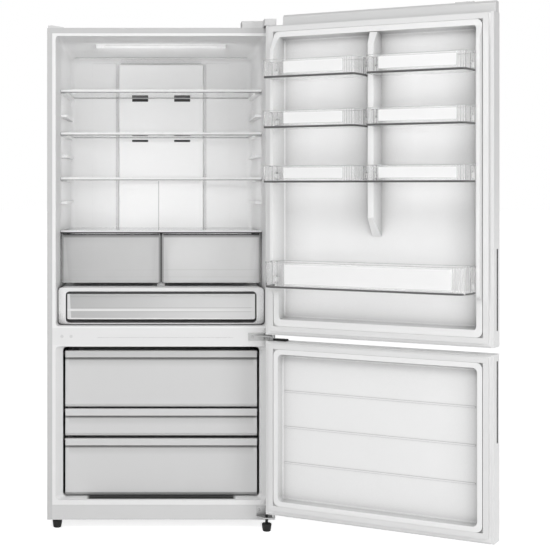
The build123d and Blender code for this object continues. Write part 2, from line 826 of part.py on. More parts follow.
for name, side in (("crisper_left", -1), ("crisper_right", 1)):
    tub_x = sorted((side * crisper_tub_inner, side * crisper_tub_outer))
    tub_depths = (crisper_front + 2, crisper_rear)
    tub_z = (crisper_low, crisper_high - crisper_drop)
    with BuildPart() as crisper:
        add(tub(tub_x, tub_depths, tub_z))
        mouth_flange(tub_x, tub_depths, tub_z[1])
        panel_x = sorted((side * crisper_inner, side * crisper_outer))
        with BuildSketch(facing(crisper_front)):
            with Locations((sum(panel_x) / 2, (crisper_low + crisper_high) / 2)):
                RectangleRounded(panel_x[1] - panel_x[0], crisper_high - crisper_low, 8)
        extrude(amount=-panel_wall)
        lip_x = (panel_x[0] + crisper_lip, panel_x[1] - crisper_lip)
        box(lip_x, (crisper_front - crisper_lip, crisper_front), (crisper_high - 4, crisper_high))
        fillet(crisper.edges().filter_by(Axis.X).group_by(Axis.Y)[0], 1.5)
    keep(crisper.part, name)

chill_tub_half = chill_drawer_half - flange_reach - 3
chill_tub_top = chill_drawer_high - 8
with BuildPart() as chill_drawer:
    tub_x = (-chill_tub_half, chill_tub_half)
    tub_depths = (chill_front + 4, chill_rear)
    add(tub(tub_x, tub_depths, (chill_drawer_low + 3, chill_tub_top)))
    mouth_flange(tub_x, tub_depths, chill_tub_top)
    with BuildSketch(facing(chill_front + 2)):
        with Locations((0, (chill_drawer_low + chill_drawer_high) / 2)):
            RectangleRounded(2 * chill_drawer_half, chill_drawer_high - chill_drawer_low, 12)
    extrude(amount=-panel_wall)
    lip_low = chill_drawer_high - tub_corner
    box((tub_corner - chill_drawer_half, chill_drawer_half - tub_corner),
        (chill_front - chill_lip, chill_front + 2), (lip_low, lip_low + 4))
    fillet(chill_drawer.edges().filter_by(Axis.X).group_by(Axis.Y)[0], 1.5)
keep(chill_drawer.part, "chill_drawer")

with BuildPart() as chill_frame:
    bezel_half = line_at(fridge_walls, chill_front + chill_bezel_depth) - 2 * running_gap
    with BuildSketch(facing(chill_front)):
        with Locations((0, (chill_bezel_bottom + chill_bezel_top) / 2)):
            RectangleRounded(2 * bezel_half, chill_bezel_top - chill_bezel_bottom, 12)
        with Locations((0, (chill_opening_low + chill_opening_high) / 2)):
            RectangleRounded(2 * chill_opening_half, chill_opening_high - chill_opening_low, tub_corner,
                             mode=Mode.SUBTRACT)
    extrude(amount=-chill_bezel_depth)
    fillet(chill_frame.faces().sort_by(Axis.Y)[0].outer_wire().edges(), 3)
    behind = chill_front + chill_bezel_depth
    box((-deck_half, deck_half), (behind - 1, chill_rear + 12),
        (chill_bezel_top - deck_thickness, chill_bezel_top))
    ledge_top = chill_tub_top - tub_flange - running_gap
    for side in (-1, 1):
        cheek = sorted((side * (chill_opening_half + 0.5), side * (chill_opening_half + 0.5 + cheek_wall)))
        box(cheek, (behind - 1, chill_rear + 6), (chill_opening_low + 2, chill_bezel_top - 1))
        ledge = sorted((side * (chill_tub_half + 2.5), side * (chill_opening_half + 1)))
        box(ledge, (behind + 4, chill_rear), (ledge_top - 4, ledge_top))
keep(chill_frame.part, "chill_frame")

for name, low, high, back in zip(freezer_names, freezer_lows, freezer_highs, freezer_rears):
    grip_back = freezer_front + handle_reach
    with BuildPart() as drawer:
        with BuildSketch(Plane.YZ):
            with BuildLine() as face_line:
                FilletPolyline((front + freezer_front, high - handle_band), (front + freezer_front, high),
                               (front + grip_back + panel_wall, high),
                               (front + grip_back, high - handle_band - 4),
                               (front + freezer_front + 6, high - handle_band - 12),
                               (front + freezer_front + 3, low + 8),
                               (front + freezer_front + 9, low), radius=panel_bend)
                offset(amount=panel_wall, side=Side.RIGHT)
            make_face()
        extrude(amount=freezer_front_half, both=True)
        tub_depths = (grip_back, back)
        tub_x = (-freezer_tub_half, freezer_tub_half)
        add(tub(tub_x, tub_depths, (low + 3, high - panel_wall)))
        mouth_flange(tub_x, tub_depths, high - panel_wall)
    keep(drawer.part, name)

# ---- Doors ------------------------------------------------------------------------------
# Door drawings use s, from the hinge end to the free end, b, from the inner face towards
# the food, and z. The planes below lay them out with the doors open.
along = Vector(-1, 0, 0).rotate(Axis.Z, door_open_angle)
inward = Vector(0, 1, 0).rotate(Axis.Z, door_open_angle)
hinge_point = Vector(hinge_x, hinge_y, 0)
door_corner = hinge_point - along * hinge_inset + inward * hinge_setback
door_middle = door_width / 2
b_axis = Axis(door_corner, inward)


def door_face(b):
    """The upright plane at b, seen from the food side: sketches in s and z."""
    return Plane(origin=door_corner + inward * b, x_dir=along, z_dir=inward)


def door_side(s):
    """The upright plane across the door at s: sketches in b and z, normal to the hinge end."""
    return Plane(origin=door_corner + along * s, x_dir=inward, z_dir=along * -1)


def door_plan(z):
    """The level plane at z, seen from below: sketches in s and b, negative lengths go up."""
    return Plane(origin=door_corner + Vector(0, 0, z), x_dir=along, z_dir=(0, 0, -1))


def door_box(s, b, z, mode=Mode.ADD):
    """A plain block between two corners in door drawing sizes."""
    with BuildSketch(door_face(b[0])) as outline:
        with Locations(((s[0] + s[1]) / 2, (z[0] + z[1]) / 2)):
            Rectangle(s[1] - s[0], z[1] - z[0])
    return extrude(outline.sketch, amount=b[1] - b[0], mode=mode)


def door_slab(low, high, inset=0.0):
    """The door's plain block, or what fits inside its skin, rounded at its front edges."""
    with BuildPart() as slab:
        door_box((inset, door_width - inset), (inset - door_thickness, -inset), (low, high))
        fillet(slab.edges().filter_by(Axis.Z).group_by(b_axis)[0], skin_corner - inset)
    return slab.part


def door_skin(low, high, rise, grip):
    """The folded steel skin: face, two sides and the narrow returns around the liner."""
    with BuildPart() as skin:
        add(door_slab(low, high))
        add(door_slab(low, high, sheet), mode=Mode.SUBTRACT)
        door_box((skin_return, door_width - skin_return), (-sheet, 0), (low, high), Mode.SUBTRACT)
        if rise:
            raised = (facade_start, door_width - facade_end)
            door_box(raised, (-door_thickness, sheet - door_thickness), (high - 1, high + rise))
        door_box((door_width - sheet, door_width), grip_span(grip_width / 2), (grip, grip + grip_height),
                 Mode.SUBTRACT)
    return skin.part


def grip_span(reach):
    """The grip slot's extent across the door's thickness, reaching both ways from its middle."""
    return (-grip_setback - reach, -grip_setback + reach)


def door_grip(low):
    """The moulded cup that lines the grip slot in the free edge."""
    with BuildPart() as cup:
        door_box((door_width - grip_depth, door_width), grip_span(grip_width / 2), (low, low + grip_height))
        door_box((door_width - grip_depth, door_width - sheet), grip_span(grip_width / 2 + grip_wall),
                 (low - grip_wall, low + grip_height + grip_wall))
        inner = grip_span(grip_width / 2 - 0.6)
        door_box((door_width - grip_depth + grip_wall, door_width), inner,
                 (low + 0.6, low + grip_height - 0.6), Mode.SUBTRACT)
    return cup.part


def pin_bore(low, high):
    """The bore for a hinge pin between two heights."""
    with BuildSketch(Plane(origin=hinge_point + Vector(0, 0, low))) as circle:
        Circle(pin_radius + pin_clearance)
    extrude(circle.sketch, amount=high - low, mode=Mode.SUBTRACT)


def cap_block(low, high):
    """The solid corner of a cap that takes the hinge pin."""
    door_box((sheet, cap_reach), (skin_corner - door_thickness, -door_liner_wall), (low, high))


def insulation(low, high, grip):
    """The foam slab of a door, cut back around the grip cup and the hinge corners."""
    add(door_slab(low + cap_thickness, high - cap_thickness, sheet))
    door_box((0, door_width), (-door_liner_wall, 0), (low, high), Mode.SUBTRACT)
    cup = grip_span(grip_width / 2 + grip_wall)
    door_box((door_width - grip_depth, door_width), cup, (grip - grip_wall, grip + grip_height + grip_wall),
             Mode.SUBTRACT)
    for block in ((low, low + hinge_block), (high - hinge_block, high)):
        door_box((0, cap_reach), (skin_corner - door_thickness, 0), block, Mode.SUBTRACT)


def pocket(start, floor, low, high, draft, height, grow, radius=16.0):
    """The drafted hollow between the dams, from their crest down to the pan's floor."""
    with BuildPart() as hollow:
        with BuildSketch(door_face(height)):
            with Locations((door_middle, (low + high) / 2)):
                RectangleRounded(door_width - 2 * (start - grow), high - low + 2 * grow, radius)
        extrude(amount=-(height + floor + grow), taper=draft)
        fillet(hollow.faces().sort_by(b_axis)[0].edges(), 6)
    return hollow.part


def dam_silhouette(inset):
    """The side view that the upper door's dams keep to: tall beside the bins, low elsewhere."""
    crest = dam_height - inset
    rim = low_rim_height - inset
    with BuildPart() as view:
        with BuildSketch(door_side(door_middle)) as outline:
            with BuildLine():
                Polyline((-door_thickness, dam_low - 20), (rim, dam_low - 20), (rim, dam_tall_from - 20),
                         (crest, dam_tall_from + inset), (crest, dam_tall_to - dam_bend - inset),
                         (rim - 1, dam_tall_to + dam_bend), (rim - 1, dam_high + 20),
                         (-door_thickness, dam_high + 20), close=True)
            make_face()
            bends = [v for v in outline.vertices() if dam_low < v.Y < dam_high]
            fillet(bends, dam_bend)
        extrude(amount=door_width / 2, both=True)
    return view.part


def dam_block(start, low, high, height, inset, root):
    """The frame of dams before its hollow is cut, rounded at its corners."""
    with BuildPart() as block:
        with BuildSketch(door_face(root)):
            with Locations((door_middle, (low + high) / 2)):
                RectangleRounded(door_width - 2 * (start + inset), high - low - 2 * inset, 20 - inset)
        extrude(amount=height - inset - root)
    return block.part


def door_divider(inset, root):
    """The upright rib between the paired bins, slanting to a tip at its foot."""
    crest = dam_height - inset
    with BuildPart() as rib:
        with BuildSketch(door_plan(door_divider_tip)) as plan:
            foot = door_divider_half + door_divider_spread - inset
            head = door_divider_half - inset
            with BuildLine():
                Polyline((door_middle - foot, root), (door_middle - head, crest),
                         (door_middle + head, crest), (door_middle + foot, root), close=True)
            make_face()
            if not inset:
                fillet(plan.vertices().group_by(Axis.Y)[-1], 3)
        extrude(amount=-(dam_tall_to + 20 - door_divider_tip))
        with BuildSketch(door_side(door_middle)):
            with BuildLine():
                Polyline((root, door_divider_tip + 2 * inset), (crest, door_divider_full + 2 * inset),
                         (crest, dam_high), (root, dam_high), close=True)
            make_face()
        extrude(amount=door_width / 4, both=True, mode=Mode.INTERSECT)
    return rib.part


wall = door_liner_wall
crest_start = dam_start + dam_width
upper_pocket = (crest_start, pan_depth, dam_low + dam_width + 4, dam_high - dam_width, pan_draft, dam_height)
plate_s = (skin_return + 0.2, door_width - skin_return - 0.2)


# ---- Upper door -------------------------------------------------------------------------
def edge_cap(low, high):
    """The level cap that closes the skin between its folds, flush with the liner's plate."""
    add(door_slab(low, high, sheet))
    door_box(plate_s, (-sheet, 0), (low, high))


def gasket_ring(rim_low, rim_high):
    """The soft frame that seals against the cabinet: foot, narrow bellows and magnet head."""
    lip = door_gap - gasket_clearance
    low = rim_low - gasket_width - gasket_to_rim
    high = rim_high + gasket_width + gasket_to_rim
    with BuildPart() as ring:
        for inset, b in ((3.0, (0, 3.0)), (5.5, (3.0, lip - 4.5)), (0.0, (lip - 4.5, lip))):
            with BuildSketch(door_face(b[0])) as band:
                with Locations((door_middle, (low + high) / 2)):
                    outer = gasket_start + inset
                    RectangleRounded(door_width - 2 * outer, high - low - 2 * inset, 7 - inset)
                    inner = gasket_start + gasket_width - inset
                    Rectangle(door_width - 2 * inner, high - low - 2 * (gasket_width - inset),
                              mode=Mode.SUBTRACT)
            extrude(band.sketch, amount=b[1] - b[0])
    return ring.part


def dam_wall(b):
    """Where the drafted inner face of a side dam stands at b."""
    return crest_start + tan(radians(pan_draft)) * (dam_height - b)


def divider_wall(b):
    """How far the flank of the middle rib stands from its centre line at b."""
    return door_divider_half + door_divider_spread * (dam_height - b) / (dam_height + pan_depth + wall)


lug_end = crest_start + hook_reach + 8.0
bin_rear_end = lug_end + 1.0
bin_rear_middle = door_middle - door_divider_half - 12.0
lug_middle = bin_rear_middle + 1.0


def bin_lug_heights(low):
    """The bottom and top of the lugs that carry the bin whose floor is at the given height."""
    return (low + lug_rise, low + lug_rise + lug_height)


def lug_pair(low, beside_middle):
    """The lugs that carry one bin, moulded on the dam and on its other neighbour."""
    z = bin_lug_heights(low)
    root = wall / 2
    with BuildSketch(door_plan(z[0])) as lugs:
        with BuildLine():
            Polyline((dam_wall(lug_b[0]) - root, lug_b[0]), (dam_wall(lug_b[1]) - root, lug_b[1]),
                     (lug_end, lug_b[1]), (lug_end, lug_b[0]), close=True)
        make_face()
        if beside_middle:
            with BuildLine():
                Polyline((door_middle - divider_wall(lug_b[0]) + root, lug_b[0]),
                         (door_middle - divider_wall(lug_b[1]) + root, lug_b[1]),
                         (lug_middle, lug_b[1]), (lug_middle, lug_b[0]), close=True)
            make_face()
        mirror(about=Plane(origin=(door_middle, 0, 0), x_dir=(0, 1, 0), z_dir=(1, 0, 0)))
    extrude(lugs.sketch, amount=-lug_height)


def bin_outline(z, grow, ends, rear_ends, flares, corner):
    """A bin's outline at z: flared towards the door and stepped in behind the dams' crests."""
    with BuildSketch(door_plan(z)) as outline:
        with BuildLine():
            Polyline((rear_ends[0], bin_back), (rear_ends[0], bin_shoulder - 2),
                     (ends[0] - flares[0], bin_shoulder), (ends[0], bin_front),
                     (ends[1], bin_front), (ends[1] + flares[1], bin_shoulder),
                     (rear_ends[1], bin_shoulder - 2), (rear_ends[1], bin_back), close=True)
        make_face()
        fillet(outline.vertices().group_by(Axis.Y)[-1], corner)
        if grow:
            offset(amount=grow, kind=Kind.INTERSECTION)
    return outline.sketch


def door_bin(low, high, ends, rear_ends, flares, corner):
    """A clear bin with a bead around its mouth and a hook at each end that drops over a lug."""
    shape = (ends, rear_ends, flares, corner)
    up = (0, 0, 1)
    hook_low = bin_lug_heights(low)[1] + running_gap
    with BuildPart() as tray:
        extrude(bin_outline(low, 0, *shape), amount=high - low, dir=up)
        front_edges = tray.edges().filter_by(Plane.XY).group_by(Axis.Z)[0].sort_by(b_axis)[-5:]
        fillet(front_edges, 3)
        extrude(bin_outline(high - bead_height, bead_width, *shape), amount=bead_height, dir=up)
        extrude(bin_outline(low + bin_wall, -bin_wall, *shape), amount=high - low, dir=up,
                mode=Mode.SUBTRACT)
        for end, reach in zip(rear_ends, (-1, 1)):
            hook = sorted((end + reach * hook_reach, end - reach * bin_wall))
            door_box(hook, lug_b, (hook_low, hook_low + hook_height))
    return tray.part


half_ends = (bin_end, door_middle - bin_middle_gap)
half_rears = (bin_rear_end, bin_rear_middle)
wide_ends = (bin_end, door_width - bin_end)
wide_rears = (bin_rear_end, door_width - bin_rear_end)


def mirrored(span):
    """The same span seen from the door's other end."""
    return (door_width - span[1], door_width - span[0])


with BuildPart() as upper_core:
    add(dam_block(dam_start, dam_low, dam_high, dam_height, wall, -wall))
    add(dam_silhouette(wall), mode=Mode.INTERSECT)
    add(pocket(*upper_pocket, wall), mode=Mode.SUBTRACT)
with BuildPart() as upper_divider_core:
    add(door_divider(wall, -pan_depth - wall))
    add(dam_silhouette(wall), mode=Mode.INTERSECT)
with BuildPart() as upper_divider:
    add(door_divider(0, -pan_depth - wall))
    add(dam_silhouette(0), mode=Mode.INTERSECT)
    add(pocket(*upper_pocket, wall), mode=Mode.INTERSECT)
with BuildPart() as upper_door_liner:
    add(dam_block(dam_start, dam_low, dam_high, dam_height, 0, -wall))
    add(pocket(*upper_pocket, wall))
    add(dam_silhouette(0), mode=Mode.INTERSECT)
    door_box(plate_s, (-wall, 0), (upper_door_low + cap_thickness, upper_door_high - cap_thickness))
    add(pocket(*upper_pocket, 0), mode=Mode.SUBTRACT)
    add(upper_divider.part)
    add(upper_core.part, mode=Mode.SUBTRACT)
    add(upper_divider_core.part, mode=Mode.SUBTRACT)
    for low in bin_lows:
        lug_pair(low, True)
    lug_pair(wide_bin_low, False)
keep(upper_door_liner.part, "upper_door_liner")

with BuildPart() as upper_door_insulation:
    insulation(upper_door_low, upper_door_high, grip_low)
    add(pocket(*upper_pocket, wall), mode=Mode.SUBTRACT)
    add(upper_core.part)
    add(upper_divider_core.part)
keep(upper_door_insulation.part, "upper_door_insulation")

keep(door_skin(upper_door_low, upper_door_high, facade_rise, grip_low), "upper_door_skin")
keep(gasket_ring(dam_low, dam_high), "upper_door_gasket")
keep(door_grip(grip_low), "upper_door_grip")

with BuildPart() as upper_door_caps:
    edge_cap(upper_door_low, upper_door_low + cap_thickness)
    edge_cap(upper_door_high - cap_thickness, upper_door_high)
    with BuildSketch(door_side(door_middle)) as crown:
        with BuildLine():
            back = sheet - door_thickness
            Polyline((back, upper_door_high - 1), (back, upper_door_high + facade_rise),
                     (back + facade_depth - 8, upper_door_high + facade_rise + 2),
                     (back + facade_depth, upper_door_high + facade_rise - 5),
                     (back + facade_depth + 2, upper_door_high - 1), close=True)
        make_face()
    extrude(crown.sketch, amount=door_width / 2 - facade_end, both=True)
    door_box((0, facade_start), (-door_thickness, 0), (upper_door_high, top + 2 * facade_rise), Mode.SUBTRACT)
    door_box(facade_tab, (back + 3, back + facade_depth - 9),
             (upper_door_high + facade_rise - 2, upper_door_high + facade_rise + 5))
    cap_block(upper_door_low, upper_door_low + hinge_block)
    cap_block(upper_door_high - hinge_block, upper_door_high)
    pin_bore(upper_door_low, upper_door_low + pin_reach + 2)
    pin_bore(upper_door_high - pin_reach - 2, upper_door_high)
keep(upper_door_caps.part, "upper_door_caps")

for (row, drop, tall), low in zip(bin_rows, bin_lows):
    near_bin = door_bin(low, low + tall, half_ends, half_rears, bin_flares, bin_corner)
    keep(near_bin, f"door_bin_{row}_hinge_side")
    far_bin = door_bin(low, low + tall, mirrored(half_ends), mirrored(half_rears), bin_flares[::-1],
                       bin_corner)
    keep(far_bin, f"door_bin_{row}_free_side")
wide_flares = (bin_flares[0], bin_flares[0])
wide_bin = door_bin(wide_bin_low, wide_bin_high, wide_ends, wide_rears, wide_flares, wide_bin_corner)
keep(wide_bin, "door_bin_wide")

# ---- Lower door -------------------------------------------------------------------------
lower_pocket = (dam_start + lower_rim_width, lower_pan_depth, lower_rim_low + lower_rim_width,
                lower_rim_high - lower_rim_width, pan_draft, lower_rim_height)
with BuildPart() as lower_core:
    add(dam_block(dam_start, lower_rim_low, lower_rim_high, lower_rim_height, wall, -wall))
    add(pocket(*lower_pocket, wall), mode=Mode.SUBTRACT)
with BuildPart() as lower_door_liner:
    add(dam_block(dam_start, lower_rim_low, lower_rim_high, lower_rim_height, 0, -wall))
    add(pocket(*lower_pocket, wall))
    door_box(plate_s, (-wall, 0), (lower_door_low + cap_thickness, lower_door_high - cap_thickness))
    add(pocket(*lower_pocket, 0), mode=Mode.SUBTRACT)
    add(lower_core.part, mode=Mode.SUBTRACT)
    ridge_start = dam_start + lower_rim_width + tub_corner
    for index in range(3):
        ridge_low = lower_rim_low + pan_ridge_rise + index * pan_ridge_pitch - pan_ridge_width / 2
        ridge_b = (-lower_pan_depth - wall / 2, wall - lower_pan_depth)
        door_box((ridge_start, door_width - ridge_start), ridge_b, (ridge_low, ridge_low + pan_ridge_width))
keep(lower_door_liner.part, "lower_door_liner")

with BuildPart() as lower_door_insulation:
    insulation(lower_door_low, lower_door_high, lower_grip_low)
    add(pocket(*lower_pocket, wall), mode=Mode.SUBTRACT)
    add(lower_core.part)
keep(lower_door_insulation.part, "lower_door_insulation")

keep(door_skin(lower_door_low, lower_door_high, 0, lower_grip_low), "lower_door_skin")
keep(gasket_ring(lower_rim_low, lower_rim_high), "lower_door_gasket")
keep(door_grip(lower_grip_low), "lower_door_grip")

with BuildPart() as lower_door_caps:
    edge_cap(lower_door_low, lower_door_low + cap_thickness)
    edge_cap(lower_door_high - cap_thickness, lower_door_high)
    cap_block(lower_door_low, lower_door_low + hinge_block)
    cap_block(lower_door_high - hinge_block, lower_door_high)
    pin_bore(lower_door_low, lower_door_low + pin_reach + 2)
    pin_bore(lower_door_high - pin_reach - 2, lower_door_high)
    door_box(cap_foot, (-44, -18), (lower_door_low - cap_thickness, lower_door_low))
keep(lower_door_caps.part, "lower_door_caps")

# ---- Hinges -----------------------------------------------------------------------------
nose_radius = pin_radius + nose_wall
leaf_low = (lower_door_high + upper_door_low - bracket_thickness) / 2
shoe_low = base + shoe_rise
right_foot = (right_foot_x, front + right_foot_depth)
with BuildPart() as hinge_brackets:
    with BuildSketch(Plane.XY.offset(top)) as top_plate:
        with BuildLine():
            Polyline((hinge_x - top_plate_reach, front + top_plate_depths[0]),
                     (hinge_x - hinge_cover_reach[1] + 4.5, front + top_plate_depths[0]),
                     (hinge_x - nose_radius, hinge_y), (hinge_x + nose_radius, hinge_y),
                     (hinge_x + nose_radius, front + top_plate_depths[1]),
                     (hinge_x - top_plate_reach, front + top_plate_depths[1]), close=True)
        make_face()
        with Locations((hinge_x, hinge_y)):
            Circle(nose_radius)
            Circle(pin_radius, mode=Mode.SUBTRACT)
    extrude(top_plate.sketch, amount=bracket_thickness)
    with BuildSketch(Plane.XY.offset(leaf_low)) as leaf:
        leaf_nose = nose_radius + 1
        with BuildLine():
            Polyline((hinge_x - leaf_reach, front), (hinge_x - leaf_nose, hinge_y),
                     (hinge_x + leaf_nose, hinge_y), (hinge_x + leaf_nose, front), close=True)
        make_face()
        with Locations((hinge_x, hinge_y)):
            Circle(leaf_nose)
            Circle(pin_radius, mode=Mode.SUBTRACT)
    extrude(leaf.sketch, amount=bracket_thickness)
    box((hinge_x - leaf_plate_reach[0], hinge_x - leaf_plate_reach[1]), (-plate_thickness, 0),
        (leaf_low - leaf_plate_below, leaf_low + leaf_plate_above))
    with BuildSketch(Plane.XY.offset(shoe_low)) as shoe:
        with BuildLine():
            Polyline((hinge_x - shoe_reach, front), (hinge_x - shoe_reach, front - 20),
                     (right_foot[0] - 12, right_foot[1] - 12), (hinge_x + nose_radius, hinge_y - nose_radius),
                     (hinge_x + nose_radius, front), close=True)
        make_face()
        fillet(shoe.vertices().group_by(Axis.Y)[0], 5)
        with Locations((hinge_x, hinge_y)):
            Circle(pin_radius, mode=Mode.SUBTRACT)
        with Locations(right_foot):
            Circle(foot_stem_radius + pin_clearance, mode=Mode.SUBTRACT)
    extrude(shoe.sketch, amount=bracket_thickness)
    box((hinge_x - shoe_reach, hinge_x + nose_radius), (-plate_thickness, 0),
        (shoe_low, shoe_low + shoe_plate_height))
keep(hinge_brackets.part, "hinge_brackets")

with BuildPart() as hinge_pins:
    for low, high in ((upper_door_high - pin_reach, top + bracket_thickness + 2),
                      (lower_door_high - pin_reach, upper_door_low + pin_reach),
                      (shoe_low, lower_door_low + pin_reach)):
        with BuildSketch(Plane(origin=hinge_point + Vector(0, 0, low))) as circle:
            Circle(pin_radius)
        extrude(circle.sketch, amount=high - low)
    chamfer(hinge_pins.edges().filter_by(GeomType.CIRCLE).group_by(Axis.Z)[0], pin_chamfer)
keep(hinge_pins.part, "hinge_pins")

with BuildPart() as hinge_covers:
    cover_far = hinge_x - hinge_cover_reach[0]
    cover_near = hinge_x - hinge_cover_reach[1]
    cover_front = front + hinge_cover_depths[0]
    cover_rear = front + hinge_cover_depths[1]
    cover_nose = hinge_y - hinge_cover_nose
    for inset, mode in ((0, Mode.ADD), (hinge_cover_wall, Mode.SUBTRACT)):
        with BuildSketch(Plane.XY.offset(top)) as cover_plan:
            with BuildLine():
                Polyline((cover_far, cover_front), (cover_near, cover_front), (cover_near, cover_nose),
                         (inner_half, cover_nose), (inner_half, cover_rear), (cover_far, cover_rear),
                         close=True)
            make_face()
            fillet(cover_plan.vertices(), shell_corner)
            if inset:
                offset(amount=-inset)
        extrude(cover_plan.sketch, amount=hinge_cover_height - inset, mode=mode)
    with BuildSketch(facing(sheet)) as cap_view:
        with BuildLine():
            Polyline((3 - half, top), (3 - half, top + 8), (14 - half, top + 9), (57 - half, top + 2),
                     (59 - half, top), close=True)
        make_face()
    extrude(cap_view.sketch, amount=-corner_cap_depth)
    with BuildSketch(facing(0)) as plugs:
        with Locations(*[(inset - half, mullion_middle) for inset in plug_insets]):
            Circle(plug_radius)
    extrude(plugs.sketch, amount=plug_rise)
keep(hinge_covers.part, "hinge_covers")

# ---- Feet and rollers -------------------------------------------------------------------
feet = (("foot_left", -foot_x, left_foot_depth), ("foot_right", right_foot_x, right_foot_depth))
for name, x, depth in feet:
    foot_high = base - foot_gap
    with BuildPart() as foot:
        with BuildSketch(Plane.XZ.offset(-front - depth)) as half_view:
            with BuildLine():
                Polyline((x, 0), (x + foot_tip_radius, 0), (x + foot_radius, foot_cone),
                         (x + foot_radius, foot_high), (x, foot_high), close=True)
            make_face()
            corners = half_view.vertices().sort_by(Axis.X)
            chamfer([corner for corner in corners[-3:] if corner.Y != foot_cone], foot_chamfer)
            with BuildLine():
                Polyline((x, foot_cone), (x + foot_stem_radius, foot_cone),
                         (x + foot_stem_radius, stem_top - 1), (x + foot_stem_radius - 1, stem_top),
                         (x, stem_top), close=True)
            make_face()
        revolve(half_view.sketch, axis=Axis((x, front + depth, 0), (0, 0, 1)))
    keep(foot.part, name)

axle_half = roller_x + roller_width / 2 + axle_overhang
with BuildPart() as rear_rollers:
    with BuildSketch(Plane.XZ.offset(-front - roller_depth)) as spindle:
        with Locations((0, roller_radius + axle_radius / 2)):
            Rectangle(2 * axle_half, axle_radius)
        with Locations((-roller_x, 1.5 * roller_radius + 0.5), (roller_x, 1.5 * roller_radius + 0.5)):
            Rectangle(roller_width, roller_radius - 1)
        chamfer(spindle.vertices().group_by(Axis.Y)[-1], roller_chamfer)
    revolve(spindle.sketch, axis=Axis((0, front + roller_depth, roller_radius), (1, 0, 0)))
keep(rear_rollers.part, "rear_rollers")

# ---- Machine chamber --------------------------------------------------------------------
tray_top = base + tray_sheet
compressor_x = half - compressor_inset
machine_depth = cabinet_depth - chamber_depth / 2
machine_y = front + machine_depth
can_low = tray_top + compressor_lift
can_high = can_low + compressor_height
waist = can_low + 0.42 * compressor_height
with BuildPart() as compressor:
    with BuildSketch(Plane.XZ.offset(-machine_y)) as profile:
        with Locations((compressor_x + compressor_radius / 2, (can_low + can_high) / 2)):
            Rectangle(compressor_radius, compressor_height)
        fillet(profile.vertices().group_by(Axis.X)[-1], compressor_crown)
        with Locations((compressor_x + (compressor_radius + plate_thickness) / 2, waist)):
            Rectangle(compressor_radius + plate_thickness, compressor_seam)
    revolve(profile.sketch, axis=Axis((compressor_x, machine_y, 0), (0, 0, 1)))
    cradle_width = 2 * (compressor_radius + cradle_reach)
    with BuildSketch(Plane.XY.offset(can_low)) as cradle:
        with Locations((compressor_x, machine_y)):
            RectangleRounded(cradle_width, cradle_depth, grommet_inset)
    extrude(cradle.sketch, amount=cradle_sheet)
    with BuildSketch(Plane.XY.offset(tray_top)) as grommets:
        with Locations((compressor_x, machine_y)):
            with GridLocations(cradle_width - 2 * grommet_inset, cradle_depth - 2 * grommet_inset, 2, 2):
                Circle(grommet_radius)
    extrude(grommets.sketch, amount=compressor_lift)
    box_x = compressor_x - compressor_radius - terminal_box[0] / 2
    box((box_x, box_x + terminal_box[0]),
        (machine_depth - terminal_box[1] / 2, machine_depth + terminal_box[1] / 2),
        (waist - terminal_box[2] / 3, waist + 2 * terminal_box[2] / 3))
keep(compressor.part, "compressor")


def serpentine(x, z, passes, depth, radius):
    """A tube laid in level passes joined by round bends, in an upright plane."""
    pitch = (z[1] - z[0]) / (passes - 1)
    y = front + depth
    points = []
    for turn in range(passes):
        ends = x if turn % 2 == 0 else x[::-1]
        points += [(ends[0], y, z[0] + turn * pitch), (ends[1], y, z[0] + turn * pitch)]
    with BuildPart() as tube:
        with BuildLine() as route:
            FilletPolyline(*points, radius=0.49 * pitch)
        with BuildSketch(Plane(origin=points[0], z_dir=(1, 0, 0))) as bore:
            Circle(radius)
        sweep(bore.sketch, path=route.line)
    return tube.part


with BuildPart() as condenser_coil:
    coil_z = (base + coil_rise, chamber_top - coil_drop)
    add(serpentine(coil_x, coil_z, coil_passes, machine_depth, tube_radius))
    coil_middle = sum(coil_x) / 2
    for x in (coil_middle - 50, coil_middle, coil_middle + 50):
        box((x - coil_support / 2, x + coil_support / 2), (machine_depth - 12, machine_depth + 12),
            (tray_top, chamber_top - coil_drop + 16))
keep(condenser_coil.part, "condenser_coil")

pan_x = (pan_inset - half, coil_x[0] - tube_radius - pan_to_coil)
drain_depths = (chamber_front + pan_depths[0], cabinet_depth - pan_depths[1])
keep(tub(pan_x, drain_depths, (tray_top, tray_top + pan_height)), "drain_pan")

gland_x = gland_inset - half
gland_z = base + gland_rise
with BuildPart() as machine_cover:
    edge = inner_half - 1
    box((-edge, edge), (cover_depth, cover_depth + base_sheet),
        (base + machine_cover_edge, chamber_top - machine_cover_gap))
    with BuildSketch(facing(cover_depth)) as louvres:
        for x in (coil_middle - 135, compressor_x):
            with Locations((x, base + chamber_height / 2 + machine_cover_edge)):
                with GridLocations(*louvre_pitch, louvre_columns, 2):
                    Rectangle(*louvre_size)
        with Locations((gland_x, gland_z)):
            Circle(gland_hole_radius)
    extrude(louvres.sketch, amount=-2 * base_sheet, mode=Mode.SUBTRACT)
keep(machine_cover.part, "machine_cover")

with BuildPart() as cord_gland:
    with BuildSketch(Plane.XY.offset(gland_z)) as gland_view:
        bore_x = gland_x + gland_bore_radius
        neck_x = gland_x + gland_hole_radius
        outer_y = front + cover_depth + base_sheet
        inner_y = front + cover_depth
        with BuildLine():
            Polyline((bore_x, outer_y + 16), (bore_x + 2, outer_y + 16), (neck_x, outer_y + 4),
                     (neck_x + 3, outer_y + 3), (neck_x + 3, outer_y), (neck_x, outer_y),
                     (neck_x, inner_y), (neck_x + 2.5, inner_y), (neck_x + 2.5, inner_y - 2.5),
                     (bore_x, inner_y - 2.5), close=True)
        make_face()
    revolve(gland_view.sketch, axis=Axis((gland_x, rear, gland_z), (0, 1, 0)))
keep(cord_gland.part, "cord_gland")

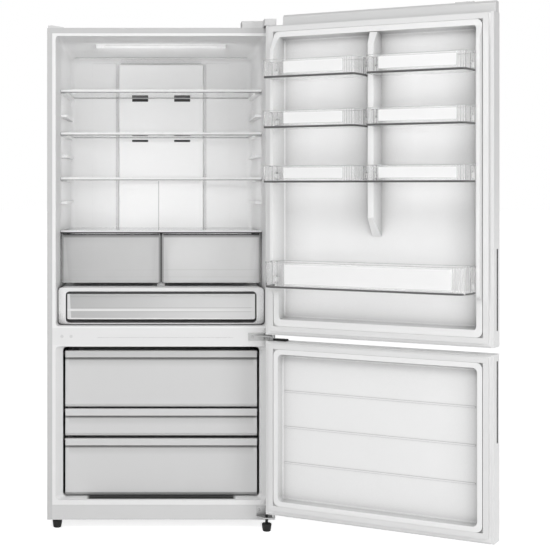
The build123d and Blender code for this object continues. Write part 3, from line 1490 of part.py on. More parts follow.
on_back = Plane(origin=(0, rear, 0), x_dir=(-1, 0, 0), z_dir=(0, 1, 0))
control_place = (control_box_x, chamber_top + control_box_rise)
keep(hollow_form(on_back, control_place, control_box_size, control_box_depth, 10, 10, hinge_cover_wall, 3),
     "control_box")

# ---- Cold air: evaporator, its cover and the fan ----------------------------------------
cover_back = evaporator_cover_depth + evaporator_cover_thickness
fin_rear = freezer_back_depth - fin_setback
fin_front = fin_rear - fin_depth
plate_low = step_tread + 12
plate_high = fan_height - fan_radius - shroud_gap - 2 * shroud_wall
with BuildPart() as evaporator:
    tube_z = (plate_low + 16, plate_high - 16)
    add(serpentine((-evaporator_half, evaporator_half), tube_z, evaporator_passes,
                   (fin_front + fin_rear) / 2, evaporator_tube))
    for index in range(fin_count):
        x = (index - (fin_count - 1) / 2) * fin_pitch
        box((x - fin_sheet / 2, x + fin_sheet / 2), (fin_front, fin_rear), (plate_low + 4, plate_high - 4))
    for x in (-evaporator_plate_half, evaporator_plate_half):
        box((x - 1, x + 1), (fin_front, freezer_back_depth), (plate_low, plate_high))
keep(evaporator.part, "evaporator")

with BuildPart() as evaporator_cover:
    cover_half = line_at(freezer_walls, cover_back) - 0.8
    cover_z = (step_tread + 1, freezer_mouth_high - freezer_flare_rise - 1)
    cover_size = (2 * cover_half, cover_z[1] - cover_z[0])
    add(hollow_form(facing(cover_back), (0, sum(cover_z) / 2), cover_size, evaporator_cover_thickness,
                    freezer_corner, 6, duct_wall, 3))
    with BuildSketch(facing(evaporator_cover_depth)) as mouth:
        with Locations((0, fan_height)):
            Circle(fan_radius + 3)
            for radius in grille_radii:
                Circle(radius + grille_bar / 2, mode=Mode.SUBTRACT)
                Circle(radius - grille_bar / 2)
            Circle(8, mode=Mode.SUBTRACT)
            with PolarLocations(fan_radius / 2, 6):
                Rectangle(fan_radius + 8, grille_bar, mode=Mode.SUBTRACT)
        for x in (-air_slot_x, air_slot_x):
            with Locations((x, fan_height)):
                with GridLocations(0, 22, 1, 3):
                    RectangleRounded(*air_slot, air_slot[1] / 3)
    extrude(mouth.sketch, amount=-2 * duct_wall, mode=Mode.SUBTRACT)
keep(evaporator_cover.part, "evaporator_cover")

shroud_radius = fan_radius + shroud_gap
arm_depth = cover_back + evaporator_cover_thickness
with BuildPart() as fan_motor:
    with BuildSketch(facing(cover_back - evaporator_cover_thickness + duct_wall)) as shroud:
        with Locations((0, fan_height)):
            Circle(shroud_radius + shroud_wall)
            Circle(shroud_radius, mode=Mode.SUBTRACT)
    extrude(shroud.sketch, amount=-shroud_depth)
    with BuildSketch(facing(arm_depth)) as arms:
        with Locations((0, fan_height)):
            with PolarLocations(shroud_radius / 2, 3):
                Rectangle(shroud_radius + 2, 7)
    extrude(arms.sketch, amount=-4)
    with BuildSketch(facing(arm_depth)) as can:
        with Locations((0, fan_height)):
            Circle(motor_radius)
    extrude(can.sketch, amount=-26)
    with BuildSketch(facing(cover_back - 8)) as shaft:
        with Locations((0, fan_height)):
            Circle(shaft_radius)
    extrude(shaft.sketch, amount=-25)
keep(fan_motor.part, "fan_motor")

rotor_depth = cover_back - 6
with BuildPart() as fan_rotor:
    with BuildSketch(facing(rotor_depth)) as hub:
        with Locations((0, fan_height)):
            Circle(hub_radius)
    extrude(hub.sketch, amount=-hub_depth)
    rotor_middle = (0, front + rotor_depth + hub_depth / 2, fan_height)
    rotor_plane = Plane(origin=rotor_middle, x_dir=(1, 0, 0), z_dir=(0, -1, 0))
    blade_place = Pos(hub_radius + 0.42 * blade_size[0], 0, 0) * Rot(blade_pitch, 0, 0)
    for turn in range(fan_blades):
        with Locations(rotor_plane.location * Rot(0, 0, 360 / fan_blades * turn) * blade_place):
            Box(*blade_size)
    with BuildSketch(facing(rotor_depth - 1)) as bore:
        with Locations((0, fan_height)):
            Circle(shaft_radius + pin_clearance)
    extrude(bore.sketch, amount=-hub_depth - 4, mode=Mode.SUBTRACT)
keep(fan_rotor.part, "fan_rotor")

os.makedirs("parts", exist_ok=True)
for piece in pieces:
    export_step(piece, f"parts/{piece.label}.step")
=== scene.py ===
import math

import bmesh
import bpy
from mathutils import Matrix, Vector


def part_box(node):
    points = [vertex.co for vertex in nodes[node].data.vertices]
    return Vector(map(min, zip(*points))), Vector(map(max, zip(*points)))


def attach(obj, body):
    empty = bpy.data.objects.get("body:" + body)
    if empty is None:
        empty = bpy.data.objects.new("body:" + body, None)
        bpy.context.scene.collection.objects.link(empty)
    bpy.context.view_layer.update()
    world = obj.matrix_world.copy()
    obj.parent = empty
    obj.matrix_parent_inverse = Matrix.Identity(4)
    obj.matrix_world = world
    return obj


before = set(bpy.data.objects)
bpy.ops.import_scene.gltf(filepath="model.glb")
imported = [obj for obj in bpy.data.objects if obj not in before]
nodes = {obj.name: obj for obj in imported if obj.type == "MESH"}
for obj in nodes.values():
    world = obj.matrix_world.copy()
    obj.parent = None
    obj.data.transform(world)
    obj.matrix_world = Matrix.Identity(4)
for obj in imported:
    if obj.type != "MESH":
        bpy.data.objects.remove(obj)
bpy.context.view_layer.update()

# ---- The frame's own places, in metres ------------------------------------------------
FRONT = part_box("cabinet_shell")[0].y
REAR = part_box("cabinet_shell")[1].y
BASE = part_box("cabinet_shell")[0].z
HINGE = Vector((0.3837, -0.370, 0))
OPEN_ANGLE = math.radians(149.6)
ALONG = Vector((-math.cos(OPEN_ANGLE), -math.sin(OPEN_ANGLE), 0))
INWARD = Vector((-math.sin(OPEN_ANGLE), math.cos(OPEN_ANGLE), 0))
# From the hinge to the corner that places on a door are counted from
END_PAST_HINGE = 0.0108
CORNER_INWARD = 0.034
DOOR_CORNER = HINGE - ALONG * END_PAST_HINGE + INWARD * CORNER_INWARD
X, Y, Z = Vector((1, 0, 0)), Vector((0, 1, 0)), Vector((0, 0, 1))
AXES = {"x": X, "y": Y, "z": Z}


def on_door(s, b, z):
    """A point on an open door: along it from the hinge end, towards the food, and up."""
    return DOOR_CORNER + ALONG * s + INWARD * b + Vector((0, 0, z))


# ---- Materials --------------------------------------------------------------------------
# Half the width of a mask's soft edge
EDGE = 0.0004
# How far a mask goes beyond a piece on a side where it has no edge
PAST = 0.01


class Paint:
    """A node material with helpers for the textures and masks that its surface needs."""

    def __init__(self, name):
        self.material = bpy.data.materials.new(name)
        self.material.use_nodes = True
        self.tree = self.material.node_tree
        self.tree.nodes.clear()
        self.out = self.tree.nodes.new("ShaderNodeOutputMaterial")
        self.shader = self.tree.nodes.new("ShaderNodeBsdfPrincipled")
        self.link(self.shader.outputs[0], self.out.inputs[0])
        self.place = self.tree.nodes.new("ShaderNodeTexCoord").outputs["Object"]

    def link(self, a, b):
        self.tree.links.new(a, b)

    def feed(self, value, socket):
        if hasattr(value, "default_value"):
            self.link(value, socket)
        else:
            socket.default_value = value

    def set(self, **values):
        for name, value in values.items():
            self.shader.inputs[name.replace("_", " ")].default_value = value
        return self

    def math(self, operation, a, b=0.0):
        node = self.tree.nodes.new("ShaderNodeMath")
        node.operation = operation
        self.feed(a, node.inputs[0])
        self.feed(b, node.inputs[1])
        return node.outputs[0]

    def span(self, value, low, high, start=0.3, end=0.7):
        """Turns the range start to end into low to high, and stops there."""
        node = self.tree.nodes.new("ShaderNodeMapRange")
        limits = (("From Min", start), ("From Max", end), ("To Min", low), ("To Max", high))
        for name, number in limits:
            node.inputs[name].default_value = number
        self.link(value, node.inputs["Value"])
        return node.outputs[0]

    def along(self, direction, origin=(0, 0, 0)):
        """How far a point of the surface lies along a direction from an origin."""
        node = self.tree.nodes.new("ShaderNodeVectorMath")
        node.operation = "DOT_PRODUCT"
        self.link(self.place, node.inputs[0])
        node.inputs[1].default_value = direction
        return self.math("SUBTRACT", node.outputs["Value"], Vector(direction).dot(Vector(origin)))

    def both(self, mask, *others):
        """The product of masks or shares."""
        for other in others:
            mask = self.math("MULTIPLY", mask, other)
        return mask

    def either(self, mask, *others):
        """The largest of masks or shares."""
        for other in others:
            mask = self.math("MAXIMUM", mask, other)
        return mask

    def outside(self, mask):
        return self.math("SUBTRACT", 1.0, mask)

    def inside(self, value, low, high, soft=EDGE):
        """1 where the value lies between low and high, with soft edges."""
        rises = self.span(value, 0.0, 1.0, low - soft, low + soft)
        falls = self.span(value, 1.0, 0.0, high - soft, high + soft)
        return self.both(rises, falls)

    def zone(self, **limits):
        """1 in a box. An axis has (low, high) or (low, high, soft), or is left out."""
        return self.both(*(self.inside(self.along(AXES[axis]), *span)
                           for axis, span in limits.items()))

    def noise(self, size, detail=2.0, stretch=None):
        """Noise whose features are about that many metres across."""
        node = self.tree.nodes.new("ShaderNodeTexNoise")
        node.inputs["Scale"].default_value = 1.0 / size
        node.inputs["Detail"].default_value = detail
        source = self.place
        if stretch:
            mapping = self.tree.nodes.new("ShaderNodeMapping")
            mapping.inputs["Scale"].default_value = stretch
            self.link(self.place, mapping.inputs["Vector"])
            source = mapping.outputs[0]
        self.link(source, node.inputs["Vector"])
        return node.outputs["Fac"]

    def mixed(self, factor, a, b, blend="MIX"):
        node = self.tree.nodes.new("ShaderNodeMix")
        node.data_type = "RGBA"
        node.blend_type = blend
        self.feed(factor, node.inputs["Factor"])
        self.feed(a, node.inputs["A"])
        self.feed(b, node.inputs["B"])
        return node.outputs["Result"]

    def colour(self, value, base, vary):
        """A colour that goes a share darker and lighter with a value, such as noise."""
        dark = [max(0.0, c * (1 - vary)) for c in base]
        light = [min(1.0, c * (1 + vary)) for c in base]
        self.link(self.mixed(value, (*dark, 1), (*light, 1)), self.shader.inputs["Base Color"])
        return self

    def over(self, mask, grey):
        """Paints a grey, which may change over the surface, where the mask is 1."""
        socket = self.shader.inputs["Base Color"]
        under = socket.links[0].from_socket
        top = grey if hasattr(grey, "default_value") else (grey, grey, grey, 1)
        self.link(self.mixed(mask, under, top), socket)
        return self

    def times(self, factor):
        """Multiplies the colour by a number that changes over the surface."""
        socket = self.shader.inputs["Base Color"]
        under = socket.links[0].from_socket
        self.link(self.mixed(1.0, under, factor, "MULTIPLY"), socket)
        return self

    def shade_nooks(self, reach, dark=0.03, start=0.04, end=0.42, alone=False):
        """Paints shade into the colour of narrow gaps and deep corners, or only of the corners that
        a piece has alone.
        """
        node = self.tree.nodes.new("ShaderNodeAmbientOcclusion")
        node.samples = 6
        node.only_local = alone
        node.inputs["Distance"].default_value = reach
        return self.times(self.span(node.outputs["AO"], dark, 1.0, start, end))

    def rough(self, value, low, high):
        self.link(self.span(value, low, high), self.shader.inputs["Roughness"])
        return self

    def bump(self, value, height):
        node = self.tree.nodes.new("ShaderNodeBump")
        node.inputs["Strength"].default_value = 1.0
        node.inputs["Distance"].default_value = height
        self.link(value, node.inputs["Height"])
        self.link(node.outputs[0], self.shader.inputs["Normal"])
        return self

    def cloud(self, mask, weight):
        """Transmission of a weight that falls to 0 where the mask is 1."""
        self.link(self.span(mask, weight, 0.0, 0.0, 1.0),
                  self.shader.inputs["Transmission Weight"])
        return self

    def clear_to_light(self, tint):
        """Lets light through to what lies behind, so that a clear piece casts little shadow."""
        through = self.tree.nodes.new("ShaderNodeBsdfTransparent")
        through.inputs[0].default_value = (tint, tint, tint, 1)
        path = self.tree.nodes.new("ShaderNodeLightPath")
        mix = self.tree.nodes.new("ShaderNodeMixShader")
        self.link(path.outputs["Is Shadow Ray"], mix.inputs[0])
        self.link(self.shader.outputs[0], mix.inputs[1])
        self.link(through.outputs[0], mix.inputs[2])
        self.link(mix.outputs[0], self.out.inputs[0])
        return self


def plastic(name, grey, rough=(0.34, 0.44), grain=0.0006, depth=0.000006, vary=0.012):
    paint = Paint(name)
    paint.colour(paint.noise(0.18), (grey, grey, grey), vary)
    paint.rough(paint.noise(0.05, 4), *rough)
    paint.bump(paint.noise(grain, 1), depth)
    return paint


def painted_sheet(name, grey, rough=(0.28, 0.36), vary=0.01):
    paint = Paint(name)
    paint.colour(paint.noise(0.35), (grey, grey, grey), vary)
    paint.rough(paint.noise(0.08, 3), *rough)
    paint.bump(paint.noise(0.0022, 2), 0.000012)
    paint.set(Coat_Weight=0.15, Coat_Roughness=0.2)
    return paint


def metal(name, grey, rough, stretch=(1, 1, 30)):
    paint = Paint(name)
    lines = paint.noise(0.02, 5, stretch)
    paint.colour(lines, (grey, grey, grey), 0.08)
    paint.rough(lines, *rough)
    paint.bump(lines, 0.000008)
    paint.set(Metallic=1.0)
    return paint


def clear(name, grey, rough, weight, tint, ior=1.46, ripple=0.00002):
    paint = Paint(name)
    paint.colour(paint.noise(0.12), (grey, grey, grey), 0.02)
    paint.rough(paint.noise(0.06, 3), *rough)
    paint.bump(paint.noise(0.03, 1), ripple)
    paint.set(Transmission_Weight=weight, IOR=ior)
    return paint.clear_to_light(tint)


def drawer_front(name, node, shade_greys, lines, outline, weight, reach=0.006, sides=(0.026, 0.011)):
    """A smoky clear tub with painted shade across its front that changes from side to side.

    lines are (height, grey, thickness), outline is (width, grey) of painted shade around the front,
    reach is the front's depth, and sides are the widths of its slanted sides at the bottom and at
    the top, painted lighter on the front.
    """
    side_grey, side_share, side_soft = 0.78, 0.8, 0.0006
    top_outline, cloudiness = 1.8, 0.85
    low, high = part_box(node)
    paint = clear(name, 0.86, rough=(0.05, 0.12), weight=weight, tint=0.8)
    wide, deep, tall = paint.along(X), paint.along(Y), paint.along(Z)
    panel = paint.inside(deep, low.y - PAST, low.y + reach)
    paint.over(panel, paint.span(wide, *shade_greys, low.x, high.x))
    for height, grey, thick in lines:
        paint.over(paint.both(panel, paint.inside(tall, height, height + thick)), grey)
    lean = paint.span(tall, *sides, low.z, high.z)
    gap = paint.math("MINIMUM", paint.math("SUBTRACT", wide, low.x),
                     paint.math("SUBTRACT", high.x, wide))
    side = paint.span(paint.math("SUBTRACT", lean, gap), 0.0, side_share, -side_soft, side_soft)
    paint.over(paint.both(panel, side), side_grey)
    edge, edge_grey = outline
    core = paint.both(paint.inside(wide, low.x + edge, high.x - edge),
                      paint.inside(tall, low.z - PAST, high.z - top_outline * edge))
    rim = paint.both(panel, paint.outside(core))
    paint.over(rim, edge_grey)
    return paint.cloud(paint.either(rim, paint.both(panel, cloudiness)), weight)


# Painted shade in the liner's gaps and corners
white_liner = plastic("white_liner", 0.87).shade_nooks(0.04, dark=0.02, start=0.1, end=0.44)
# Painted shade: the liner is painted near black behind the duct cover's vents, for the shade seen
# through them
white_liner.over(white_liner.zone(x=(-0.155, 0.155), y=(0.2, 0.24), z=(1.0, 1.66)), 0.05)

# Painted shade in the frames' gaps and corners
frame_white = plastic("white_frame", 0.8).shade_nooks(0.06, dark=0.01, start=0.28, end=0.5)
frame_white.set(Specular_IOR_Level=0.25)
# Painted shade, near black: on the chill frame's sill under the chill drawer, on the divider's
# front between the crispers, and on the crisper cover's rail underneath
sill_shade = frame_white.zone(x=(-0.318, 0.318, 0.002), y=(-0.272, -0.22), z=(0.7, 0.713))
divider_shade = frame_white.zone(x=(-0.0045, 0.0045), z=(0.845, 1.02))
rail_shade = frame_white.zone(y=(-0.21, -0.19), z=(1.0, 1.0222))
frame_white.over(sill_shade, 0.008).over(divider_shade, 0.04).over(rail_shade, 0.05)

# Painted shade, deep, in the freezer's gaps and corners
cold_liner = plastic("white_cold_liner", 0.84).shade_nooks(0.07, dark=0.01, start=0.24, end=0.52)
cold_liner.set(Specular_IOR_Level=0.25)
# Painted shade: a near-black strip at the front of the freezer's floor, for the dark gap under the
# bottom drawer
floor_gap_shade = cold_liner.zone(x=(-0.255, 0.255, 0.006), y=(-0.314, -0.25, 0.002),
                       z=(0.09, 0.1045, 0.002))
cold_liner.over(floor_gap_shade, 0.008)

# Painted shade: narrow corners first, then the wide shading of the pan. The clear bins don't count
door_liner_paint = plastic("white_door_liner", 0.88, rough=(0.38, 0.46))
door_liner_paint.shade_nooks(0.03, dark=0.1, start=0.05, end=0.4, alone=True)
door_liner_paint.shade_nooks(0.12, dark=0.3, start=0.34, end=0.95, alone=True)

# The shaded left side of the channel down the duct cover
duct_paint = plastic("white_duct_cover", 0.91)
duct_paint.over(duct_paint.zone(x=(-0.0105, -0.0082), z=(1.01, 1.205)), 0.42)

# The cabinet and the doors wear one white paint; the cabinet's copy is painted darker, as painted
# shade on its flange
steel_paint = painted_sheet("painted_steel", 0.59)
door_steel_paint = painted_sheet("painted_door_steel", 0.78)
base_paint = painted_sheet("painted_base", 0.66)
zinc = painted_sheet("zinc_sheet", 0.5, rough=(0.34, 0.5), vary=0.06)
black_steel = painted_sheet("black_steel", 0.018, rough=(0.3, 0.45))
coil_paint = painted_sheet("coil_paint", 0.03, rough=(0.35, 0.5))
fin_metal = metal("fin_aluminium", 0.78, rough=(0.28, 0.42))
bright_steel = metal("bright_steel", 0.5, rough=(0.34, 0.5), stretch=(30, 1, 1))
foam = Paint("rigid_foam")
foam.colour(foam.noise(0.02), (0.72, 0.62, 0.40), 0.08).rough(foam.noise(0.05), 0.8, 0.9)
foam.bump(foam.noise(0.0012, 1), 0.0002)

grey_plastic = plastic("grey_plastic", 0.62, rough=(0.4, 0.5))
# The hinge covers and door caps get painted shade in their small corners
cover_plastic = plastic("cover_plastic", 0.68, rough=(0.4, 0.5)).shade_nooks(0.008)
BLACK_GRAIN = {"grain": 0.0009, "depth": 0.00002, "vary": 0.1}
dark_plastic = plastic("dark_plastic", 0.012, rough=(0.42, 0.55), **BLACK_GRAIN)
dark_plastic.set(Specular_IOR_Level=0.25)
grip_plastic = plastic("grip_plastic", 0.03, rough=(0.4, 0.5), **BLACK_GRAIN)
seal_paint = plastic("soft_seal", 0.78, rough=(0.55, 0.65), grain=0.0012, depth=0.00002,
                     vary=0.02)
lens_paint = plastic("lamp_lens", 0.85, rough=(0.2, 0.3))
lens_paint.set(Emission_Color=(1.0, 1.0, 1.0, 1.0), Emission_Strength=0.03)

# The glass of the shelves and the crisper cover is dark where its side edges are seen
GLASS_RIM = 0.003
shelf_glass = clear("shelf_glass", 0.97, rough=(0.0, 0.02), weight=1.0, tint=0.93, ior=1.5)
glass_low, glass_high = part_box("shelf_top_glass")
glass_rims = shelf_glass.outside(
    shelf_glass.zone(x=(glass_low.x + GLASS_RIM, glass_high.x - GLASS_RIM)))
shelf_glass.over(glass_rims, 0.12).cloud(glass_rims, 1.0)

crisper_lines = ((0.8872, 0.50, 0.0012), (0.8885, 0.80, 0.001), (0.862, 0.56, 0.001),
                 (0.842, 0.86, 0.004))
crisper_outline = (0.0065, 0.02)
# Painted shade: the left crisper's front is painted darker than the right one's
crisper_left_paint = drawer_front(
    "crisper_left_plastic", "crisper_left", (0.37, 0.6), crisper_lines, crisper_outline, 0.85)
crisper_right_paint = drawer_front(
    "crisper_right_plastic", "crisper_right", (0.84, 0.92), crisper_lines, crisper_outline, 0.85)
chill_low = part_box("chill_drawer")[0].z
chill_lines = ((chill_low + 0.001, 0.84, 0.004), (chill_low + 0.026, 0.48, 0.0012),
               (chill_low + 0.029, 0.8, 0.008), (chill_low + 0.040, 0.45, 0.0012))
# Painted shade across the chill drawer's front, darker on the left
chill_paint = drawer_front(
    "chill_drawer_plastic", "chill_drawer", (0.5, 0.78), chill_lines, (0.0034, 0.03), 0.8,
    reach=0.03, sides=(0.017, 0.012))


def trim_paint(name):
    """A shelf's trim: white in front, grey along the rear edge, and painted shade along the bottom.
    """
    rear_strip, bottom_shade = 0.03, 0.003
    low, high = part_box(name)
    paint = plastic(name + "_plastic", 0.86, rough=(0.22, 0.3))
    deep, tall = paint.along(Y), paint.along(Z)
    paint.over(paint.inside(deep, high.y - rear_strip, high.y + PAST), 0.36)
    return paint.over(paint.inside(tall, low.z - PAST, low.z + bottom_shade), 0.3)


def freezer_paint(name):
    """Pale drawer plastic, with painted shade in its corners and under its handle band, and light
    along its bottom edge.
    """
    band_height, shade_height, shade = 0.024, 0.034, 0.24
    side_margin, side_soft, front_depth, bottom_edge = 0.012, 0.003, 0.03, 0.0022
    low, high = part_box(name)
    paint = plastic(name + "_plastic", 0.65, rough=(0.3, 0.4))
    paint.shade_nooks(0.035, dark=0.35, start=0.1, end=0.72)
    wide, deep, tall = paint.along(X), paint.along(Y), paint.along(Z)
    band = high.z - band_height
    panel = paint.both(
        paint.inside(wide, low.x + side_margin, high.x - side_margin, side_soft),
        paint.inside(deep, low.y - PAST, low.y + front_depth))
    # Painted shade under the handle band, fading towards the bottom
    under = paint.both(paint.inside(tall, low.z, band), panel)
    fade = paint.span(tall, 0.0, shade, band - shade_height, band)
    paint.times(paint.outside(paint.both(under, fade)))
    return paint.over(paint.inside(tall, low.z - PAST, low.z + bottom_edge), 0.8)


# How far a bin's pale field stays from the bin's hinge end and from its free end
FIELD_ENDS = {"hinge_side": (0.082, 0.0475), "free_side": (0.05, 0.034), "wide": (0.085, 0.05)}


def bin_paint(name):
    """Clear plastic with a pale field on the front wall, and painted shade along its edges and at
    its foot.
    """
    wall, field_foot, field_top, field_soft = 0.012, 0.014, 0.007, 0.001
    foot_height, foot_width, end_edge, top_edge = 0.0065, 0.011, 0.0018, 0.0014
    rib_pitch, rib_share, rib_gap, rib_end = 0.0085, 0.16, 0.002, 0.01
    points = [vert.co - DOOR_CORNER for vert in nodes[name].data.vertices]
    lengths = [point.dot(ALONG) for point in points]
    near, far = min(lengths), max(lengths)
    face = max(point.dot(INWARD) for point in points)
    low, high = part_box(name)
    near_end, far_end = FIELD_ENDS[name.split("_", 3)[-1]]
    weight = 0.94
    paint = clear(name + "_plastic", 0.98, rough=(0.02, 0.05), weight=weight, tint=0.58,
                  ior=1.25, ripple=0.000008)
    s, b, z = paint.along(ALONG, DOOR_CORNER), paint.along(INWARD, DOOR_CORNER), paint.along(Z)
    field = paint.both(
        paint.inside(b, face - wall, face + PAST),
        paint.inside(s, near + near_end, far - far_end, field_soft),
        paint.inside(z, low.z + field_foot, high.z - field_top, field_soft))
    floor_area = paint.both(paint.inside(s, near + foot_width, far - foot_width),
                            paint.inside(b, -0.1, face - wall))
    foot = paint.both(paint.inside(z, low.z - PAST, low.z + foot_height),
                      paint.outside(floor_area))
    ends = paint.outside(paint.inside(s, near + end_edge, far - end_edge))
    lip = paint.inside(z, high.z - top_edge, high.z + PAST)
    ribs = paint.math("LESS_THAN", paint.math("FRACT", paint.math("DIVIDE", s, rib_pitch)),
                      rib_share)
    ribs = paint.both(ribs, paint.inside(s, far - far_end + rib_gap, far - rib_end))
    # Painted shade: grey ends and top lip, and a near-black foot
    paint.over(field, 0.94).over(ribs, 0.85).over(ends, 0.5).over(lip, 0.6).over(foot, 0.12)
    cloudy = paint.either(foot, paint.both(paint.either(ends, lip), 0.6), paint.both(ribs, 0.22),
                          paint.both(field, 0.8))
    return paint.cloud(cloudy, weight)


PAINTS = {
    white_liner: ("fridge_liner", "evaporator_cover", "lamp_housing"),
    frame_white: ("mullion_cover", "chill_frame", "crisper_cover_frame"),
    cold_liner: ("freezer_liner",),
    duct_paint: ("duct_cover",),
    door_liner_paint: ("upper_door_liner", "lower_door_liner"),
    steel_paint: ("cabinet_shell",),
    door_steel_paint: ("upper_door_skin", "lower_door_skin"),
    base_paint: ("base_frame",),
    zinc: ("rear_panel", "machine_cover"),
    foam: ("cabinet_insulation", "upper_door_insulation", "lower_door_insulation"),
    black_steel: ("compressor", "fan_motor"),
    coil_paint: ("condenser_coil",),
    fin_metal: ("evaporator",),
    bright_steel: ("hinge_pins", "hinge_brackets"),
    grey_plastic: ("control_box",),
    cover_plastic: ("hinge_covers", "upper_door_caps", "lower_door_caps"),
    dark_plastic: ("foot_left", "foot_right", "rear_rollers", "fan_rotor", "cord_gland",
                   "drain_pan"),
    grip_plastic: ("upper_door_grip", "lower_door_grip"),
    seal_paint: ("upper_door_gasket", "lower_door_gasket"),
    shelf_glass: ("shelf_top_glass", "shelf_middle_glass", "shelf_bottom_glass",
                  "crisper_cover_glass"),
    crisper_left_paint: ("crisper_left",),
    crisper_right_paint: ("crisper_right",),
    chill_paint: ("chill_drawer",),
    lens_paint: ("lamp_lens",),
}
for name in nodes:
    if name.startswith("door_bin_"):
        PAINTS[bin_paint(name)] = (name,)
    elif name.startswith("shelf_") and name.endswith("_trim"):
        PAINTS[trim_paint(name)] = (name,)
    elif name.startswith("freezer_drawer_"):
        PAINTS[freezer_paint(name)] = (name,)
for paint, names in PAINTS.items():
    for name in names:
        nodes[name].data.materials.clear()
        nodes[name].data.materials.append(paint.material)


# ---- Pieces made here -------------------------------------------------------------------
def piece(name, mesh, paint, body):
    mesh.materials.append(paint.material)
    thing = bpy.data.objects.new(name, mesh)
    bpy.context.scene.collection.objects.link(thing)
    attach(thing, body)
    return thing


def turned(profile, place, axis, segments=24):
    """A mesh spun from (radius, height) points about an axis at a place."""
    work = bmesh.new()
    rings = []
    for radius, height in profile:
        ring = []
        for step in range(segments):
            angle = 2 * math.pi * step / segments
            point = (radius * math.cos(angle), radius * math.sin(angle), height)
            ring.append(work.verts.new(point))
        rings.append(ring)
    for low, high in zip(rings, rings[1:]):
        for step in range(segments):
            after = (step + 1) % segments
            work.faces.new((low[step], low[after], high[after], high[step]))
    work.faces.new(rings[-1])
    work.faces.new(rings[0][::-1])
    turn = Z.rotation_difference(Vector(axis)).to_matrix().to_4x4()
    work.transform(Matrix.Translation(Vector(place)) @ turn)
    bmesh.ops.recalc_face_normals(work, faces=work.faces)
    mesh = bpy.data.meshes.new("turned")
    work.to_mesh(mesh)
    work.free()
    return mesh


def screw(name, place, axis, radius):
    """A domed screw head with a round drive recess, on the cabinet."""
    profile = ((radius, -0.0004), (radius, 0.0006), (0.92 * radius, 0.0014),
               (0.7 * radius, 0.0021), (0.45 * radius, 0.0024), (0.36 * radius, 0.0023),
               (0.3 * radius, 0.0009))
    thing = piece(name, turned(profile, place, axis), bright_steel, "cabinet")
    for face in thing.data.polygons:
        face.use_smooth = len(face.vertices) == 4


TO_FRONT = (0, -1, 0)
TO_REAR = (0, 1, 0)
HINGE_SCREW_RADIUS = 0.0048
REAR_SCREW_RADIUS = 0.005
BRACKET_FACE = FRONT - 0.003
CENTRE_SCREW_Z = 0.664
BOTTOM_SCREW_Z = BASE + 0.036
BOTTOM_SCREW_SHIFT = 0.024
COVER_FACE = REAR - 0.0002
COVER_SCREWS = ((-0.37, 0.05), (0.37, 0.05), (-0.37, 0.25), (0.37, 0.25), (0, 0.25), (0, 0.05))
PANEL_SCREWS = [(x, z) for z in (0.5, 1.1, 1.7) for x in (-0.38, 0.38)]
for index, x in enumerate((0.315, 0.343)):
    screw(f"centre_hinge_screw_{index + 1}", (x, BRACKET_FACE, CENTRE_SCREW_Z), TO_FRONT,
          HINGE_SCREW_RADIUS)
    screw(f"bottom_hinge_screw_{index + 1}", (x + BOTTOM_SCREW_SHIFT, BRACKET_FACE, BOTTOM_SCREW_Z),
          TO_FRONT, HINGE_SCREW_RADIUS)
for index, (x, z) in enumerate(COVER_SCREWS):
    screw(f"machine_cover_screw_{index + 1}", (x, COVER_FACE, z), TO_REAR, REAR_SCREW_RADIUS)
for index, (x, z) in enumerate(PANEL_SCREWS):
    screw(f"rear_panel_screw_{index + 1}", (x, REAR, z), TO_REAR, REAR_SCREW_RADIUS)


def block(name, low, high, bevel, place, paint, body):
    """A rounded block between two corners; place turns its sizes into points."""
    work = bmesh.new()
    made = bmesh.ops.create_cube(work, size=1.0)
    for vert in made["verts"]:
        share = [0.5 + c for c in vert.co]
        vert.co = Vector([a + (b - a) * t for a, b, t in zip(low, high, share)])
    bmesh.ops.bevel(work, geom=list(work.edges), offset=bevel, segments=3, profile=0.5,
                    affect="EDGES")
    for vert in work.verts:
        vert.co = place(*vert.co)
    bmesh.ops.recalc_face_normals(work, faces=work.faces)
    mesh = bpy.data.meshes.new(name)
    work.to_mesh(mesh)
    work.free()
    piece(name, mesh, paint, body)


def straight(x, y, z):
    """A point in the cabinet's own directions."""
    return Vector((x, y, z))


block("lower_door_bush", (0.017, -0.045, 0.6568), (0.065, -0.022, 0.6638), 0.0012, on_door,
      dark_plastic, "lower_door")
COVE_RISE = 0.017
COVE_THICKNESS = 0.0055
cove_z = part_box("duct_cover")[1].z + COVE_RISE
block("ceiling_cove_rail", (-0.347, 0.208, cove_z), (0.347, 0.2268, cove_z + COVE_THICKNESS),
      0.0018, straight, white_liner, "cabinet")


# ---- Floor, light and camera ------------------------------------------------------------
WHITE = (1, 1, 1, 1)
FLOOR_REACH = 60.0
FLOOR_GLOW = 0.72
WORLD_LIGHT = 0.4
CAMERA_DISTANCE = 4.687
CAMERA_HEIGHT = 1.1825


def seen_directly(tree, kinds):
    """1 for the kinds of ray that see a thing, such as a camera ray or one through glass."""
    path = tree.nodes.new("ShaderNodeLightPath")
    seen = path.outputs[kinds[0]]
    for kind in kinds[1:]:
        both = tree.nodes.new("ShaderNodeMath")
        both.operation = "MAXIMUM"
        tree.links.new(seen, both.inputs[0])
        tree.links.new(path.outputs[kind], both.inputs[1])
        seen = both.outputs[0]
    return seen


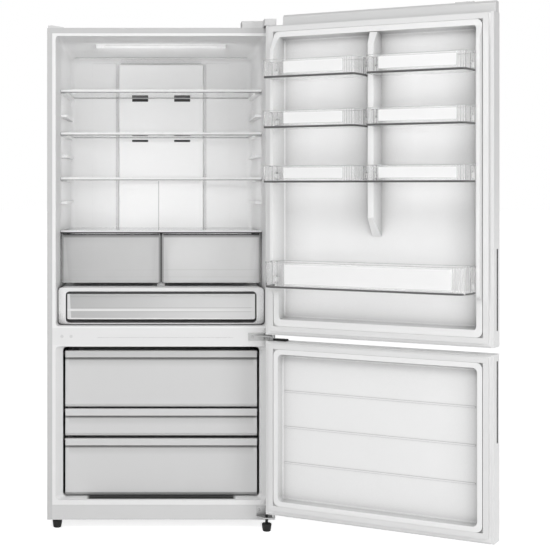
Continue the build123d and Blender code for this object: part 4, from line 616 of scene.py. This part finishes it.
def floor_paint():
    """A pale floor that also glows to the eye, so that it meets the white background."""
    paint = Paint("floor")
    paint.tree.nodes.remove(paint.shader)
    diffuse = paint.tree.nodes.new("ShaderNodeBsdfDiffuse")
    pale = paint.mixed(paint.noise(0.8), (0.79, 0.79, 0.79, 1), (0.81, 0.81, 0.81, 1))
    paint.link(pale, diffuse.inputs[0])
    glow = paint.tree.nodes.new("ShaderNodeEmission")
    seen = seen_directly(paint.tree, ("Is Camera Ray", "Is Glossy Ray", "Is Transmission Ray"))
    paint.link(paint.both(seen, FLOOR_GLOW), glow.inputs[1])
    together = paint.tree.nodes.new("ShaderNodeAddShader")
    paint.link(diffuse.outputs[0], together.inputs[0])
    paint.link(glow.outputs[0], together.inputs[1])
    paint.link(together.outputs[0], paint.out.inputs[0])
    return paint


floor_mesh = bpy.data.meshes.new("floor")
floor_corners = [(-1, -1), (1, -1), (1, 1), (-1, 1)]
floor_mesh.from_pydata([(FLOOR_REACH * x, FLOOR_REACH * y, 0) for x, y in floor_corners], [],
                       [(0, 1, 2, 3)])
floor_mesh.materials.append(floor_paint().material)
floor = bpy.data.objects.new("floor", floor_mesh)
bpy.context.scene.collection.objects.link(floor)

world = bpy.data.worlds.new("studio")
world.use_nodes = True
bpy.context.scene.world = world
tree = world.node_tree
tree.nodes.clear()


def background(strength):
    shader = tree.nodes.new("ShaderNodeBackground")
    shader.inputs[0].default_value = WHITE
    shader.inputs[1].default_value = strength
    return shader.outputs[0]


# The world lights the part softly, and is plain white where it is seen
mix = tree.nodes.new("ShaderNodeMixShader")
tree.links.new(seen_directly(tree, ("Is Camera Ray", "Is Transmission Ray")), mix.inputs[0])
tree.links.new(background(WORLD_LIGHT), mix.inputs[1])
tree.links.new(background(1.0), mix.inputs[2])
world_out = tree.nodes.new("ShaderNodeOutputWorld")
tree.links.new(mix.outputs[0], world_out.inputs[0])


def area_light(name, place, target, size, watts):
    light = bpy.data.lights.new(name, "AREA")
    light.shape = "RECTANGLE"
    light.size, light.size_y = size
    light.energy = watts
    lamp = bpy.data.objects.new(name, light)
    lamp.location = place
    aim = Vector(target) - Vector(place)
    lamp.rotation_euler = aim.to_track_quat("-Z", "Y").to_euler()
    bpy.context.scene.collection.objects.link(lamp)
    return lamp


front_light = area_light("front", (0.0, -6.2, 1.2), (0.1, -0.2, 0.8), (3.0, 2.4), watts=80)
front_light.visible_glossy = False
area_light("rear", (1.6, 4.4, 2.6), (0.0, 0.2, 0.9), (2.2, 2.2), watts=34)
area_light("key", (-0.9, -3.7, 4.3), (0.2, -0.2, 0.9), (2.2, 1.5), watts=56)
area_light("right", (3.2, -4.0, 1.4), (0.4, -0.4, 0.8), (2.0, 2.0), watts=48)
# A soft lamp in the refrigerator's mouth, behind the shelves' front edges
mouth = area_light("cavity", (0.0, FRONT + 0.13, 1.33), (0.0, 0.3, 1.33), (0.56, 0.56), watts=2.2)
mouth.visible_camera = mouth.visible_glossy = mouth.visible_transmission = False

camera_data = bpy.data.cameras.new("camera")
camera = bpy.data.objects.new("camera", camera_data)
bpy.context.scene.collection.objects.link(camera)
camera.location = (0, FRONT - CAMERA_DISTANCE, CAMERA_HEIGHT)
camera.rotation_euler = (math.radians(90), 0, 0)
camera_data.sensor_width = 36.0
camera_data.lens = 88.56
camera_data.shift_x = 0.207
camera_data.shift_y = -0.160
camera_data.dof.use_dof = False
bpy.context.scene.camera = camera
bpy.context.scene.view_settings.view_transform = "Standard"
